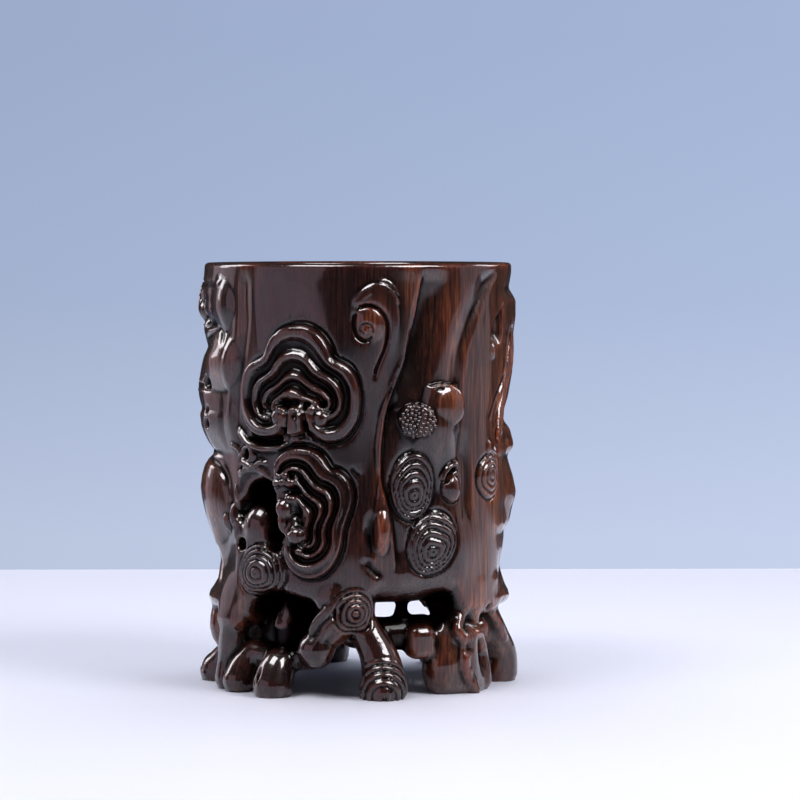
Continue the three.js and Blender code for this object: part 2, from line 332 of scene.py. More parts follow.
# Pale blade-shaped scoop at the third column's top, closed above and open below.
w, d, side, t = R.line([(66.6, 145.2), (65.2, 141.6), (62.9, 137.4), (61.2, 132), (60.6, 128.5)], 6, 60)
width = 0.4 + 4.2 * smooth(t / 0.7)
R.add(w, -2.3 * np.clip(1 - (d / width) ** 3, 0, 1) * smooth(t / 0.08) * smooth((1.0 - t) / 0.35))
R.swell(58.6, 127.0, 2.2, 2.4, 0.8)
# The slit between the third column and the branch behind it.
R.bead([(82, 138), (79.4, 129), (75.6, 120), (71, 111.5), (66.4, 103), (63.6, 94), (63, 86)], 2.3, -4.6, taper=0.16)
R.bead([(78, 141), (75, 131), (71.6, 121), (67, 112), (62.8, 103)], 1.5, 0.9, taper=0.2)
R.bead([(86, 138), (83.6, 128), (80, 118), (75.6, 110), (71, 101), (68.6, 91)], 1.7, 1.1, taper=0.2)
R.bead([(56, 101), (60.6, 108), (66, 114), (71, 119)], 1.1, -0.7)
R.bead([(60, 97), (64, 104), (69, 109.5)], 0.9, -0.6)

# Curl at the top of the body: a branch tip that rolls up round a ball, under a low hood.
HOOD = [(-2.1, 144.8), (-1.1, 147.2), (0.4, 149.2), (2.4, 151.0), (4.8, 152.2), (7.4, 152.6), (9.8, 151.8), (11.8, 149.6), (13.2, 147.2), (14.2, 144.6)]
w, s, z = R.window(-8, 24, 120, 158)
hood = np.array(HOOD + [(14.6, 140), (14.2, 134), (12.6, 127), (10.6, 124), (8.6, 126), (9.8, 132), (10.2, 138), (8.8, 142), (5.4, 144.8), (1.4, 144.8)])
hood = curve(hood, 160, True)
d, _, _ = nearest(hood, s, z)
q = np.where(within(hood, s, z), d, -d)
R.add(w, 0.85 * smooth((q + 0.3) / 1.6) * smooth((z - 124) / 16))
d = np.hypot((s - 4.2) / 6.2, (z - 138.2) / 7.0)
R.add(w, 1.8 * np.clip(1 - d**2, 0, 1))
R.bead([(5.5, 117.0), (6.1, 121.3), (7.5, 125), (9.2, 129.4), (10.1, 134), (9.9, 137.8), (8.8, 141), (6.7, 143.6), (3.9, 144.8), (1.1, 144.5), (-1.1, 142.8)], 0.75, -1.25, 110, taper=0.10)
R.bead([(-1.1, 142.8), (-1.9, 139.6), (-1.75, 136.3), (-0.7, 133.7), (1.4, 132.0), (3.6, 132.4), (5.0, 134.4)], 0.85, -1.2, 80, taper=0.12)
R.bead([(5.0, 134.4), (4.6, 137.0), (2.8, 138.4), (0.8, 137.8), (0.2, 135.9), (1.2, 134.2)], 0.55, -0.6, 60, taper=0.15)
R.ball(2.1, 135.7, 1.1, 1.2, 60.3, 0.9)
R.bead(HOOD, 0.7, 0.75, 90, taper=0.08)
R.bead([(6.6, 153.9), (9.8, 153.6), (12.4, 151.4), (14.2, 148.4)], 0.6, 0.5, 60)
R.bead([(1.2, 147.2), (2.6, 148.6), (4.4, 149.6)], 0.5, 0.4, 30)

def stood(shape, r):
    """A head's lines as seen on the plain wall, moved to where they lie when it stands out to radius r."""
    def m(p):
        return (REF_R * math.asin(57 / r * math.sin(p[0] / REF_R)), *p[1:])
    out = {"centre": m(shape["centre"]), "edge": [m(p) for p in shape["edge"]]}
    for k in ("lips", "crests", "furrows", "cuts"):
        out[k] = [[m(p) for p in l] for l in shape.get(k, [])]
    for k in ("pits", "balls"):
        out[k] = [m(p) for p in shape.get(k, [])]
    out["stems"] = [([m(p) for p in l], w_, h_) for l, w_, h_ in shape.get("stems", [])]
    return out


HEAD_A = {
    "centre": (-24.5, 114),
    "edge": [(-24, 137.9), (-19.6, 137.7), (-15.8, 136), (-12.6, 133.2), (-10.4, 129.4), (-9.2, 126), (-6.6, 124.6), (-3.6, 122.8), (-1.2, 119.6), (0.4, 115), (0.9, 110), (0.3, 104.6), (-1.8, 99.8), (-5.4, 96), (-10, 94.6), (-14.6, 95.2), (-18.4, 98), (-20, 102), (-21, 98), (-27.5, 97), (-28.6, 99.4), (-32, 96.4), (-38, 95.8), (-43, 96.8), (-47, 99.6), (-49.4, 104), (-50, 109.6), (-49.6, 115.4), (-47.6, 120.4), (-44.2, 123.6), (-40.4, 125.2), (-37.6, 126.6), (-36.4, 129), (-34.8, 132.2), (-32, 135.4), (-28.2, 137.2)],
    "lips": [
        [(-31.5, 134.7), (-28, 136.3), (-24, 137.2), (-20, 137), (-16.4, 135.5), (-13.4, 132.9), (-11.2, 129.4), (-10, 126.2), (-8, 124.6), (-5.2, 123.2), (-3, 121), (-1.3, 118), (-0.2, 114), (0.1, 110), (-0.5, 105), (-2.5, 100.6), (-5.9, 97), (-10, 95.5), (-14, 96)],
        [(-31.5, 134.7), (-34.2, 131.6), (-35.8, 128), (-37.2, 125.8), (-40.5, 124.4), (-44, 122.6), (-46.9, 119.4), (-48.7, 115), (-49.2, 109.5), (-48.6, 104.2), (-46.4, 100.4), (-42.6, 97.8), (-38, 96.8), (-33, 97.2)],
    ],
    "crests": [
        [(-30.5, 132.6), (-26.5, 134.3), (-22.5, 134.7), (-18.5, 133.5), (-15.2, 131.2), (-13, 128), (-11.5, 125), (-9.3, 122.8), (-6.2, 121.2), (-4.1, 118.4), (-2.6, 115), (-2.2, 110.5), (-2.7, 105.5), (-4.8, 101.4), (-7.8, 98.7), (-11.2, 97.9), (-14.8, 98.9), (-17, 101.2), (-17.2, 104)],
        [(-30.5, 132.6), (-32.8, 129.8), (-34.4, 126.4), (-36.6, 123.8), (-40.4, 122.2), (-43.8, 120.2), (-45.9, 116.8), (-46.9, 112), (-46.6, 107.2), (-44.8, 103.2), (-41.8, 100.4), (-37.5, 99.2), (-33, 99.6), (-30.2, 101.4), (-29.4, 104)],
        [(-25, 126.4), (-21.5, 125.8), (-19, 123.8), (-16.8, 121.2), (-14.2, 119.3), (-11.4, 118), (-9, 116), (-7.4, 113.2), (-6.8, 110.3), (-7.6, 107), (-9.8, 104.9), (-12, 104)],
        [(-25, 126.4), (-28.4, 125.5), (-31, 123), (-33, 119.9), (-36.4, 117.8), (-39.4, 116), (-41.4, 113), (-42, 109.6), (-41.2, 106.2), (-39.2, 103.9), (-36.6, 103.3)],
        [(-25.3, 119), (-22.6, 118.4), (-20, 116.6), (-17.6, 114.9), (-14.8, 113.6), (-12.4, 112), (-10.9, 109.8), (-11.2, 107.8)],
        [(-25.3, 119), (-28, 118), (-30.6, 115.7), (-33.6, 113.8), (-36.6, 112), (-37.9, 109.4), (-37.3, 107.2)],
        [(-25.8, 112.9), (-23.4, 112.3), (-21, 110.9), (-18.4, 110.2), (-16, 109.2), (-14.6, 107.4)],
        [(-25.8, 112.9), (-28.4, 112.4), (-31, 110.7), (-33, 108.8), (-33.6, 106.4)],
    ],
    "furrows": [
        [(-25, 130.6), (-20.8, 129.8), (-17.8, 127.6), (-15.4, 124.6), (-12.6, 122), (-9.4, 120), (-6.7, 117.5), (-5.1, 114), (-4.7, 110), (-5.4, 105.9), (-7.6, 102.7), (-10.4, 101.3), (-13, 101.6), (-14.6, 103.4)],
        [(-25, 130.6), (-29.2, 129.4), (-32, 126.8), (-33.9, 123.5), (-36.6, 121), (-40.4, 119.3), (-43.3, 116.5), (-44.6, 112.6), (-44.4, 108.1), (-42.7, 104.4), (-39.7, 101.9), (-36.4, 101.3), (-33, 102.4)],
        [(-25.2, 122.7), (-22, 121.8), (-19.6, 119.6), (-17, 117.6), (-13.9, 116.1), (-11.3, 114), (-9.4, 111.6), (-9, 109), (-10, 106.6)],
        [(-25.2, 122.7), (-28, 121.7), (-30.4, 119.1), (-33.2, 116.6), (-36.9, 114.6), (-39.3, 112), (-40, 108.8), (-38.9, 106)],
        [(-25.6, 116), (-22.8, 115.3), (-20.3, 113.5), (-17.6, 112.2), (-15, 111), (-13.2, 109.2)],
        [(-25.6, 116), (-28.4, 115.2), (-31, 113), (-33.6, 111.2), (-35.2, 109), (-35.4, 106.6)],
    ],
    "cuts": [
        [(-20.8, 109), (-20, 105), (-19.6, 101), (-19.2, 97.5)],
        [(-27.6, 108.6), (-27, 104), (-27.6, 100), (-28, 97)],
        [(-17, 106.2), (-14.2, 106.4), (-11.6, 105.2), (-11.4, 102.8)],
        [(-31.6, 104.6), (-33.8, 103), (-36.6, 104.4)],
    ],
    "pits": [(-29, 108.6, 2.4, 2.0, 3.0), (-24.4, 109.2, 2.6, 1.2, 2.4), (-19.6, 108.4, 1.6, 1.4, 2.2), (-13.6, 108.4, 1.8, 1.4, 2.0), (-23.6, 104.6, 0.9, 1.4, 1.4), (-34.6, 105, 2.0, 1.6, 1.4)],
    "balls": [(-14.4, 103.4, 3.2, 3.4, 1.6), (-31.4, 103.6, 3.0, 3.4, 1.2), (-30.2, 106.4, 1.6, 1.3, 1.6), (-17.6, 106.6, 1.4, 1.8, 1.4), (-24.4, 106.6, 1.6, 1.0, 1.2)],
    "stems": [([(-24, 107.5), (-23.8, 103), (-24.4, 98), (-25, 93.5)], 3.2, 1.6), ([(-21.9, 106.5), (-21.6, 101.6), (-20.9, 98), (-18.6, 95.4)], 0.9, 1.3), ([(-19.4, 107), (-18.9, 102), (-18.4, 98)], 1.3, 1.0)],
}
HEAD_A = stood(HEAD_A, 60.4)
R.head(HEAD_A, *HEAD_A["centre"], 1.0, plate=3.4, amp=1.3)

HEAD_B = {
    "centre": (-18.5, 69),
    "edge": [(-34.6, 81), (-34.2, 85.4), (-32.2, 89), (-29, 91.5), (-25, 92.8), (-20.6, 92.9), (-16.6, 91.8), (-13.5, 89.4), (-11.5, 86.5), (-10.2, 85.2), (-8, 84.6), (-5.2, 82.9), (-3.2, 80), (-2.1, 76.6), (-2.3, 72.4), (-3.7, 67.6), (-5.1, 63.2), (-5.7, 58.8), (-6.8, 54), (-9.1, 49.5), (-12.6, 46), (-17, 44.4), (-21.4, 44.7), (-25.4, 47), (-28, 50.6), (-29.3, 55), (-28.6, 59.6), (-30.5, 61), (-33, 65), (-33.6, 71), (-33, 75), (-34.8, 78)],
    "lips": [[(-33.6, 82), (-33.2, 85.2), (-31.4, 88.5), (-28.5, 90.7), (-24.8, 91.9), (-20.8, 92), (-17.1, 91), (-14.2, 88.8), (-12.2, 86), (-10.6, 84.4), (-8.2, 83.7), (-5.8, 82.1), (-4, 79.5), (-3, 76.4), (-3.2, 72.6), (-4.6, 68), (-6, 63.5), (-6.6, 59), (-7.7, 54.5), (-9.9, 50.2), (-13, 47), (-17, 45.4), (-21.1, 45.7), (-24.6, 47.8), (-27, 51.2), (-28.3, 55)]],
    "crests": [
        [(-31.8, 82), (-31.3, 85), (-29.6, 87.4), (-26.8, 88.9), (-23.4, 89.4), (-20.3, 88.8), (-17.8, 87), (-15.8, 84.4), (-13.8, 82.3), (-11, 81.2), (-8.6, 79.6), (-7, 77.2), (-6.3, 74.1), (-6.7, 70.4), (-8, 66.6), (-9, 62.8), (-9, 59), (-9.8, 55.3), (-11.9, 52.2), (-15, 50.1), (-18.6, 49.2), (-22, 49.8), (-24.6, 51.7), (-26.2, 54.6), (-26.8, 58)],
        [(-29.4, 82.8), (-27, 84.6), (-24, 85), (-21.4, 83.7), (-19.4, 81.4), (-17.4, 79.2), (-14.8, 77.6), (-12.3, 76.5), (-10.8, 74.3), (-10.3, 71.6), (-10.8, 68.6), (-12.2, 65.6), (-13.1, 62.2), (-12.8, 59), (-13.6, 56.5), (-15.5, 54.3), (-18.2, 53.1), (-20.8, 53.6), (-22.6, 55.2)],
        [(-23.8, 80.6), (-22, 78), (-20, 75.8), (-17.6, 74.2), (-15.5, 72.8), (-14.2, 70.6), (-14.6, 68), (-15.9, 65.2), (-16.5, 62.2), (-16.4, 59.4), (-17.1, 57.3), (-18.8, 56.2)],
        [(-23.2, 73.8), (-21.4, 71.4), (-19.6, 69.6), (-18.8, 67.2), (-19.4, 64.6), (-19.8, 62), (-20, 59.6)],
    ],
    "furrows": [
        [(-30.6, 83.2), (-28.5, 85.9), (-25.6, 87), (-22.4, 86.8), (-19.7, 85.2), (-17.6, 82.7), (-15.6, 80.6), (-12.8, 79.4), (-10.3, 77.8), (-8.8, 75.4), (-8.3, 72.4), (-9, 69), (-10.4, 65.6), (-11.1, 62), (-10.7, 58.7), (-11.7, 55.8), (-13.8, 53.1), (-16.7, 51.4), (-19.8, 50.9), (-22.5, 51.9), (-24.4, 54)],
        [(-26, 82.7), (-23.5, 82.3), (-21.6, 80.2), (-19.6, 77.8), (-17.4, 76), (-15, 74.8), (-13, 73.2), (-12.3, 70.8), (-12.8, 68), (-14.1, 65.2), (-14.8, 62), (-14.6, 59.2), (-15.4, 57), (-17.1, 55.3), (-19.4, 55.1)],
        [(-23.4, 76.8), (-21.6, 74.2), (-19.4, 72.5), (-17.3, 70.9), (-16.5, 68.6), (-17.2, 66), (-18, 63.2), (-17.9, 60.6), (-18.6, 58.6)],
    ],
    "pits": [(-23.6, 68.4, 1.6, 3.0, 2.4), (-25.4, 76.6, 2.4, 1.6, 2.2), (-22.4, 64.4, 1.6, 1.6, 2.0), (-24, 56.6, 1.6, 1.2, 1.4)],
    "balls": [(-29.4, 69.6, 3.6, 4.2, 2.2), (-29.6, 65, 2.0, 3.4, 1.4), (-23.4, 60.2, 3.4, 3.4, 2.0), (-22, 54.6, 1.4, 1.4, 1.2), (-32, 79.4, 1.5, 1.5, 1.6), (-29.4, 79.8, 1.3, 1.4, 1.5), (-26.6, 79.6, 1.6, 1.7, 1.6), (-28.2, 82.3, 1.3, 1.3, 1.4), (-30.8, 82, 1.1, 1.1, 1.4), (-24.4, 81.8, 1.1, 1.1, 1.4), (-27, 73.4, 1.6, 1.8, 0.8)],
}
HEAD_B = stood(HEAD_B, 60.4)
R.head(HEAD_B, *HEAD_B["centre"], 1.0, plate=3.4, amp=1.3)

# Broken branch stub above the small knot: a level broken top over a big smooth round front.
w, s, z = R.window(12, 47, 78, 121)
top = 115.9 + 0.25 * np.sin(s * 1.1)
mid_, half = 32.4 - 0.10 * (116 - z), 6.6 + 0.16 * np.clip(116 - z, 0, 17)
R.add(w, 2.2 * smooth((top - z) / 1.2) * smooth((half - np.abs(s - mid_)) / 3.0 + 0.4) * smooth((z - 84) / 18))
R.bead([(26.6, 114.6), (29.4, 115.5), (32.6, 115.6), (35.6, 114.5)], 0.7, 0.9, 40, taper=0.1)
R.bead([(27.6, 113.6), (30.6, 114.2), (32.4, 113.6), (35.4, 113.4)], 0.5, -0.9, 40, taper=0.15)
R.ball(34.0, 107.6, 6.8, 7.4, 61.0, 0.29)

# Seed head: a small disc that carries tiny round seeds.
SEED_S, SEED_Z = 20.9, 102.3
w, s, z = R.window(8, 34, 91, 114)
d = np.hypot((s - SEED_S) / 6.2, (z - SEED_Z) / 6.6)
R.add(w, 1.7 * smooth((1.06 - d) / 0.22) + 0.7 * (1 - np.clip(d, 0, 1) ** 2))
SEEDS = []
for i in range(56):
    out_, turn = 0.80 * math.sqrt(i + 0.4), 2.39996 * i
    SEEDS.append((SEED_S + out_ * math.cos(turn), SEED_Z + 1.06 * out_ * math.sin(turn), 0.76 + 0.09 * math.sin(9.1 * i)))

# Healed knots.
R.knot(20.0, 78.3, 8.7, 12.7, 3.0, 2.2, 1.3, rot=-0.05, off=(0.03, -0.30))
R.knot(27.4, 57.2, 9.4, 11.9, 3.0, 2.5, 1.3, rot=-0.35, off=(0.04, -0.34), lean=0.6)
R.knot(-38.2, 46.2, 11.0, 10.2, 3.0, 2.8, 1.35, rot=0.2, off=(-0.1, -0.05), lean=0.2)
R.knot(56.8, 80.2, 7.6, 8.4, 2.0, 1.6, 1.0, off=(0.0, 0.1))
R.bead([(56.6, 88), (56.4, 91.4), (57.4, 94)], 2.0, 0.9, 30, taper=0.3)
# the smooth nut beside them, under its own small hood
w, s, z = R.window(29, 46, 66, 90)
d = np.hypot((s - 36.4) / 4.2, (z - 76.8) / 5.2)
R.add(w, 2.5 * np.clip(1 - d**2.2, 0, 1) ** 0.6 - 0.5 * np.exp(-(((d - 1.06) / 0.08) ** 2)))
R.bead([(31.4, 79.6), (32.6, 82.6), (34.8, 85.2), (38.0, 85.9), (39.6, 84.8)], 1.25, 1.7, 50, taper=0.1)
R.bead([(33.0, 78.6), (34.6, 81.2), (36.8, 83.2), (39.4, 83.8)], 0.9, -1.9, 50, taper=0.15)

# Left: the raised lip under the upper head, the collar and small holes, beads by the hollow.
R.bead([(-52, 99), (-48.4, 95.6), (-44, 92.6), (-38, 91.4), (-31, 92.2), (-25.6, 93.6)], 1.5, 2.0, taper=0.12)
R.bead([(-46, 96.6), (-41, 95.2), (-35, 94.8), (-28.6, 95.8)], 1.9, -3.4, taper=0.15)
R.knot(-46.4, 88.8, 4.2, 3.8, 1.0, 1.6, 0.2)
R.swell(-46.6, 89.2, 1.5, 1.9, -5.0)
R.swell(-50.6, 83.6, 1.1, 1.2, -3.0)
R.bead([(-57, 92.5), (-52, 90.6), (-50.6, 88)], 1.0, 0.8)
R.bead([(-49.4, 87.4), (-46.8, 85.4), (-43, 84.9), (-40, 86.4), (-36, 86)], 1.1, 1.3)
R.bead([(-52, 81), (-48, 83.4), (-43.6, 84), (-38.6, 83), (-34.2, 79)], 1.6, 0.8)
for cs_, cz_, hz_ in ((-50.2, 68.6, 3.4), (-54.6, 65.8, 4.4), (-58.8, 62.6, 3.6)):
    w, s, z = R.window(cs_ - 3, cs_ + 3, cz_ - 6, cz_ + 6)
    d = np.hypot((s - cs_) / 2.1, (z - cz_) / hz_)
    R.add(w, 1.7 * np.clip(1 - d**2, 0, 1) ** 0.7)
R.bead([(-54, 78), (-53.0, 74), (-51.6, 71), (-52.2, 62), (-53.6, 56)], 1.1, 0.7)
R.fold([(-43.5, 163), (-43.8, 150), (-44.5, 138), (-47, 124), (-50, 112), (-52, 98)], -1, 0.9, 8, steep=4.5, lip=0.0, taper=0.2)

# A small head at the top left outline, smooth knobs at the right one.
R.head(HEAD_A, -98, 142.6, 0.42, math.radians(10), 1, plate=2.4, amp=0.9)
R.swell(84, 93.0, 7, 6.4, 2.8, 1.3)
# Back and sides, in the same manner.
R.head(HEAD_A, 126, 122, 0.92, math.radians(6), -1, plate=2.4, amp=1.2)
R.head(HEAD_B, 164, 66, 0.86, math.radians(10), -1, plate=2.2, amp=1.2)
R.head(HEAD_A, -148, 86, 0.84, math.radians(-24), 1, plate=2.2, amp=1.2)
R.head(HEAD_B, -126, 128, 0.62, math.radians(35), -1, plate=2.2, amp=1.0)
R.knot(104, 64, 9.0, 11.0, 4.0, 2.2, 0.9, off=(0.05, -0.1))
R.knot(-112, 92, 7.5, 9.0, 3.2, 2.0, 0.8)
R.knot(168, 118, 9.0, 12.0, 4.0, 2.2, 0.9, off=(0.05, -0.1))
R.knot(-170, 54, 8.0, 8.6, 3.2, 2.0, 0.8)
R.knot(134, 84, 5.0, 7.0, 2.4, 1.8, 0.7)
R.fold([(96, 163), (95, 140), (98, 120), (103, 100), (102, 80), (96, 60)], +1, 3.4, 12, steep=2.8, taper=0.06)
R.fold([(146, 163), (150, 138), (148, 116), (144, 96), (142, 76), (146, 56)], +1, 3.6, 12, steep=2.8, taper=0.06)
R.fold([(-150, 163), (-156, 138), (-158, 118), (-164, 100), (-166, 80), (-160, 62)], -1, 3.6, 12, steep=2.8, taper=0.06)
R.fold([(-104, 163), (-104, 140), (-100, 124), (-103, 104), (-106, 86), (-102, 66)], -1, 3.0, 10, steep=2.8, taper=0.06)

# Long grain waves and shallow facets of the knife.
w, s, z = R.window(0, TURN - R.ds, 0, HEIGHT)
ph = 2 * math.pi * s / TURN
R.add(w, 0.25 * np.sin(9 * ph + 0.05 * z) * np.sin(z / 23 + 2 * np.sin(3 * ph)) + 0.14 * np.sin(17 * ph + z / 31 + 1.3) + 0.06 * np.sin(43 * ph + z / 17))


def outline(side, profile, reach=30):
    """Bring the trunk's outline, as seen from the front, to the traced half-widths (height, mm)."""
    lo = side * 86 - 17
    w, s, z = R.window(lo, lo + 34, 30, HEIGHT)
    th = np.abs(s) / REF_R
    rows = z[:, 0]
    want = np.interp(rows, [p[0] for p in profile][::-1], [p[1] for p in profile][::-1])
    w2, s2, z2 = R.window(side * 85 - reach, side * 85 + reach, 30, HEIGHT)
    for _ in range(3):
        h = R.h[w]
        have = (h * np.sin(th) * 1228.6 / (1230 - h * np.cos(th))).max(1)
        d = want - have
        d = np.convolve(np.pad(d, 4, mode="edge"), np.ones(9) / 9, mode="valid")
        d = d * smooth((rows - 33) / 8)
        R.h[w2] += d[:, None] * bump(np.abs(s2 - side * 85) / reach)


outline(-1, [
    (160, 58.8), (155, 59.2), (152.5, 59.4), (151, 60.6), (147, 61.3), (142.5, 61.6), (141, 61.2), (139.5, 60.2), (137.9, 59.2),
    (134.9, 59.2), (131.8, 58.6), (129, 57.4), (127.2, 58.0), (124.1, 59.4), (121, 60.1), (115, 61.2), (111.9, 61.5), (108.8, 61.1),
    (104.6, 60.0), (102.7, 60.9), (98.1, 60.3), (95.1, 59.2), (92, 57.6), (88.9, 55.3), (87.4, 56.0), (84.3, 58.5), (82.8, 59.2),
    (79.7, 60.1), (75, 60.7), (70.6, 60.2), (64.4, 58.7), (58.3, 56.6), (52.2, 54.4), (49.1, 53.4), (44, 52.6), (38.4, 53.2), (34, 55.2),
])
outline(1, [
    (160, 58.2), (156.3, 58.2), (150.2, 57.2), (148, 58.6), (145.6, 59.9), (139.5, 59.9), (133.3, 59.1), (127.2, 59.3), (122.6, 59.1),
    (118, 58.6), (113.4, 57.8), (108.8, 57.0), (104.2, 55.6), (99.8, 55.3), (96.6, 57.7), (92, 59.0), (90, 59.1), (88.6, 58.4), (86.4, 56.8),
    (84.3, 57.1), (78.2, 59.0), (72.9, 60.1), (70.6, 59.9), (67.5, 58.9), (61.4, 57.6), (58.3, 55.8), (50.6, 54.8), (43, 53.6), (38.4, 54.8), (33, 55.4),
])

# ---------------------------------------------------------------- the solid field
lim = 66.0
n = int(2 * lim / VOX)
nz = int((HEIGHT + 6) / VOX)
xs = -lim + (np.arange(n) + 0.5) * VOX
zs = -3.0 + (np.arange(nz) + 0.5) * VOX
X, Y = np.meshgrid(xs, xs, indexing="ij")
RR = np.hypot(X, Y)
S = np.arctan2(X, -Y) * REF_R
# height and rounding of the wall's lower edge, round the trunk
LOW = np.interp(S, [-176, -168, -154, -142, -128, -116, -102, -84, -66, -58, -52, -47, -42, -36, -24, -18, -14, -8, 2, 6, 38, 43, 44, 50, 62, 70, 84, 102, 114, 124, 135, 150, 164, 176], [29, 24, 34, 24, 33, 24, 32, 29, 28, 24, 24, 27, 34, 36.5, 36.5, 35, 32.5, 34.5, 34.5, 34.5, 34.5, 28.5, 28.5, 28, 28, 30, 29, 32, 24, 32, 24, 34, 31, 29])
ROUND = np.interp(S, [-176, -60, -52, -46, -24, -12, 2, 8, 24, 34, 44, 60, 176], [5, 5, 9, 9, 6, 5, 6, 12, 12, 13, 6, 5, 5])
# the back wall of the dark recess at the left of the front, set behind the outer wall
IN_R = np.interp(S, [-72, -66, -48, -12, -8, -4], [30, 44, 47.0, 47.0, 40, 30])
IN_LOW = np.interp(S, [-72, -66, -46, -18, -12, -6], [16, 14, 12, 14, 22, 30])
field = np.empty((n, n, nz), np.float32)
for k, zz in enumerate(zs):
    f = (RR - R.look(S, np.full_like(S, min(max(zz, 0), HEIGHT)))) * 0.85
    # rounded rim
    g = zz - HEIGHT
    a, b = f + 1.3, g + 1.3
    f = np.where((a > 0) & (b > 0), np.hypot(a, b) - 1.3, np.maximum(f, g))
    if zz < 62:
        g = LOW - zz
        a, b = f + ROUND, g + ROUND
        f = np.where((a > 0) & (b > 0), np.hypot(a, b) - ROUND, np.maximum(f, g))
        inner = np.maximum(RR - IN_R, IN_LOW - zz)
        h = np.clip(0.5 + 0.5 * (inner - f) / 2.5, 0, 1)
        f = inner * (1 - h) + f * h - 2.5 * h * (1 - h)
    field[:, :, k] = f


def box_of(lo, hi):
    i0 = np.maximum(0, np.floor((lo - np.array([-lim, -lim, -3.0])) / VOX - 1)).astype(int)
    i1 = np.minimum([n, n, nz], np.ceil((hi - np.array([-lim, -lim, -3.0])) / VOX + 1)).astype(int)
    return tuple(slice(a, b) for a, b in zip(i0, i1)), xs[i0[0]:i1[0], None, None], xs[None, i0[1]:i1[1], None], zs[None, None, i0[2]:i1[2]]


def smin(a, b, k):
    h = np.clip(0.5 + 0.5 * (b - a) / k, 0, 1)
    return b * (1 - h) + a * h - k * h * (1 - h)


def at(s, r, z):
    return np.array([r * math.sin(s / REF_R), -r * math.cos(s / REF_R), z])


def limb_field(stations, steps):
    """Distance to a tapering limb, in its own box."""
    line = curve([(*at(s, r, z), rad) for s, r, z, rad in stations], steps)
    top = line[:, 3].max() + 4
    where, x, y, z = box_of(line[:, :3].min(0) - top, line[:, :3].max(0) + top)
    best = np.full(np.broadcast_shapes(x.shape, y.shape, z.shape), 1e3, np.float32)
    for a, b in zip(line[:-1], line[1:]):
        d = b[:3] - a[:3]
        t = np.clip(((x - a[0]) * d[0] + (y - a[1]) * d[1] + (z - a[2]) * d[2]) / max(d @ d, 1e-9), 0, 1)
        dist = np.sqrt((x - a[0] - t * d[0]) ** 2 + (y - a[1] - t * d[1]) ** 2 + (z - a[2] - t * d[2]) ** 2) - (a[3] + (b[3] - a[3]) * t)
        best = np.minimum(best, dist)
    return where, best


def add_limb(stations, k=2.5, steps=14):
    where, d = limb_field(stations, steps)
    field[where] = smin(field[where], d, k)


def cut_limb(stations, k=1.5, steps=14):
    where, d = limb_field(stations, steps)
    field[where] = -smin(-field[where], d, k)


def ball_field(c, r, squash):
    """Distance to an ellipsoid whose axes are across, outwards and up."""
    c = np.array(c, float)
    out = np.array([c[0], c[1], 0]) / math.hypot(c[0], c[1])
    across = np.array([-out[1], out[0], 0])
    r3 = r * np.array(squash, float)
    m = r3.max() + 4
    where, x, y, z = box_of(c - m, c + m)
    u = ((x - c[0]) * across[0] + (y - c[1]) * across[1]) / r3[0]
    v = ((x - c[0]) * out[0] + (y - c[1]) * out[1]) / r3[1]
    w = (z - c[2]) / r3[2]
    return where, (np.sqrt(u**2 + v**2 + w**2) - 1) * r3.min()


def add_ball(c, r, k=1.5, squash=(1, 1, 1)):
    where, d = ball_field(c, r, squash)
    field[where] = smin(field[where], d, k)


def cut_ball(c, r, k=1.5, squash=(1, 1, 1)):
    where, d = ball_field(c, r, squash)
    field[where] = -smin(-field[where], d, k)


def add_block(c, azimuth, half, r, k=2.0, tilt=0.0):
    """A block with rounded edges whose front faces azimuth (degrees, + to the right), tilted up."""
    c, half = np.array(c, float), np.array(half, float)
    a = math.radians(azimuth)
    side = math.hypot(half[0], half[1]) + 4
    reach = np.array([side, side, half[2] + 4])
    where, x, y, z = box_of(c - reach, c + reach)
    across = (x - c[0]) * math.cos(a) + (y - c[1]) * math.sin(a)
    out = (x - c[0]) * math.sin(a) - (y - c[1]) * math.cos(a)
    t = math.radians(tilt)
    up = (z - c[2]) * math.cos(t) - out * math.sin(t)
    out = out * math.cos(t) + (z - c[2]) * math.sin(t)
    q = [np.abs(v) - h + r for v, h in zip((across, out, up), half)]
    d = np.sqrt(sum(np.maximum(v, 0) ** 2 for v in q)) + np.minimum(np.maximum(np.maximum(q[0], q[1]), q[2]), 0) - r
    field[where] = smin(field[where], d, k)


# The tree hollow at the left of the front, with an egg-shaped burr inside.
cut_ball(at(-39.0, 57.5, 71.6), 9.2, 1.2, (1.0, 1.18, 1.0))
cut_ball(at(-32.6, 57.5, 63), 4.6, 1.2, (1.0, 2.2, 2.1))
cut_ball(at(-46, 58, 68), 6.4, 1.5, (1.1, 1.2, 0.9))
add_ball(at(-43.6, 50.4, 61.8), 7.6, 0.8, (0.98, 1.0, 1.18))
cut_ball(at(-47.4, 58.2, 64.3), 1.5, 0.5, (1, 1.4, 1.3))
cut_ball(at(-49.0, 57, 55.6), 2.2, 0.8, (1.2, 1.6, 1.1))
# Rounded growths at the top left outline.
for s_, z_, r_, a_ in ((-86, 148.0, 56.2, 4.4), (-90, 142.0, 56.4, 4.8), (-87, 135.4, 55.4, 3.8), (-82, 130.6, 55.0, 3.2)):
    add_ball(at(s_, r_, z_), a_, 0.8)
# Holes in the left swelling, seen at the outline.
cut_ball(at(-71, 60.6, 115.2), 3.0, 0.6, (1.3, 1.3, 1.1))
cut_ball(at(-71, 61.0, 104.6), 1.4, 0.6, (1, 1.3, 1.4))
cut_ball(at(-71, 60.8, 99.4), 1.8, 0.6, (1, 1.3, 1.2))
add_ball(at(76.5, 51.6, 37.8), 4.7, 0.6, (1.0, 0.9, 1.35))
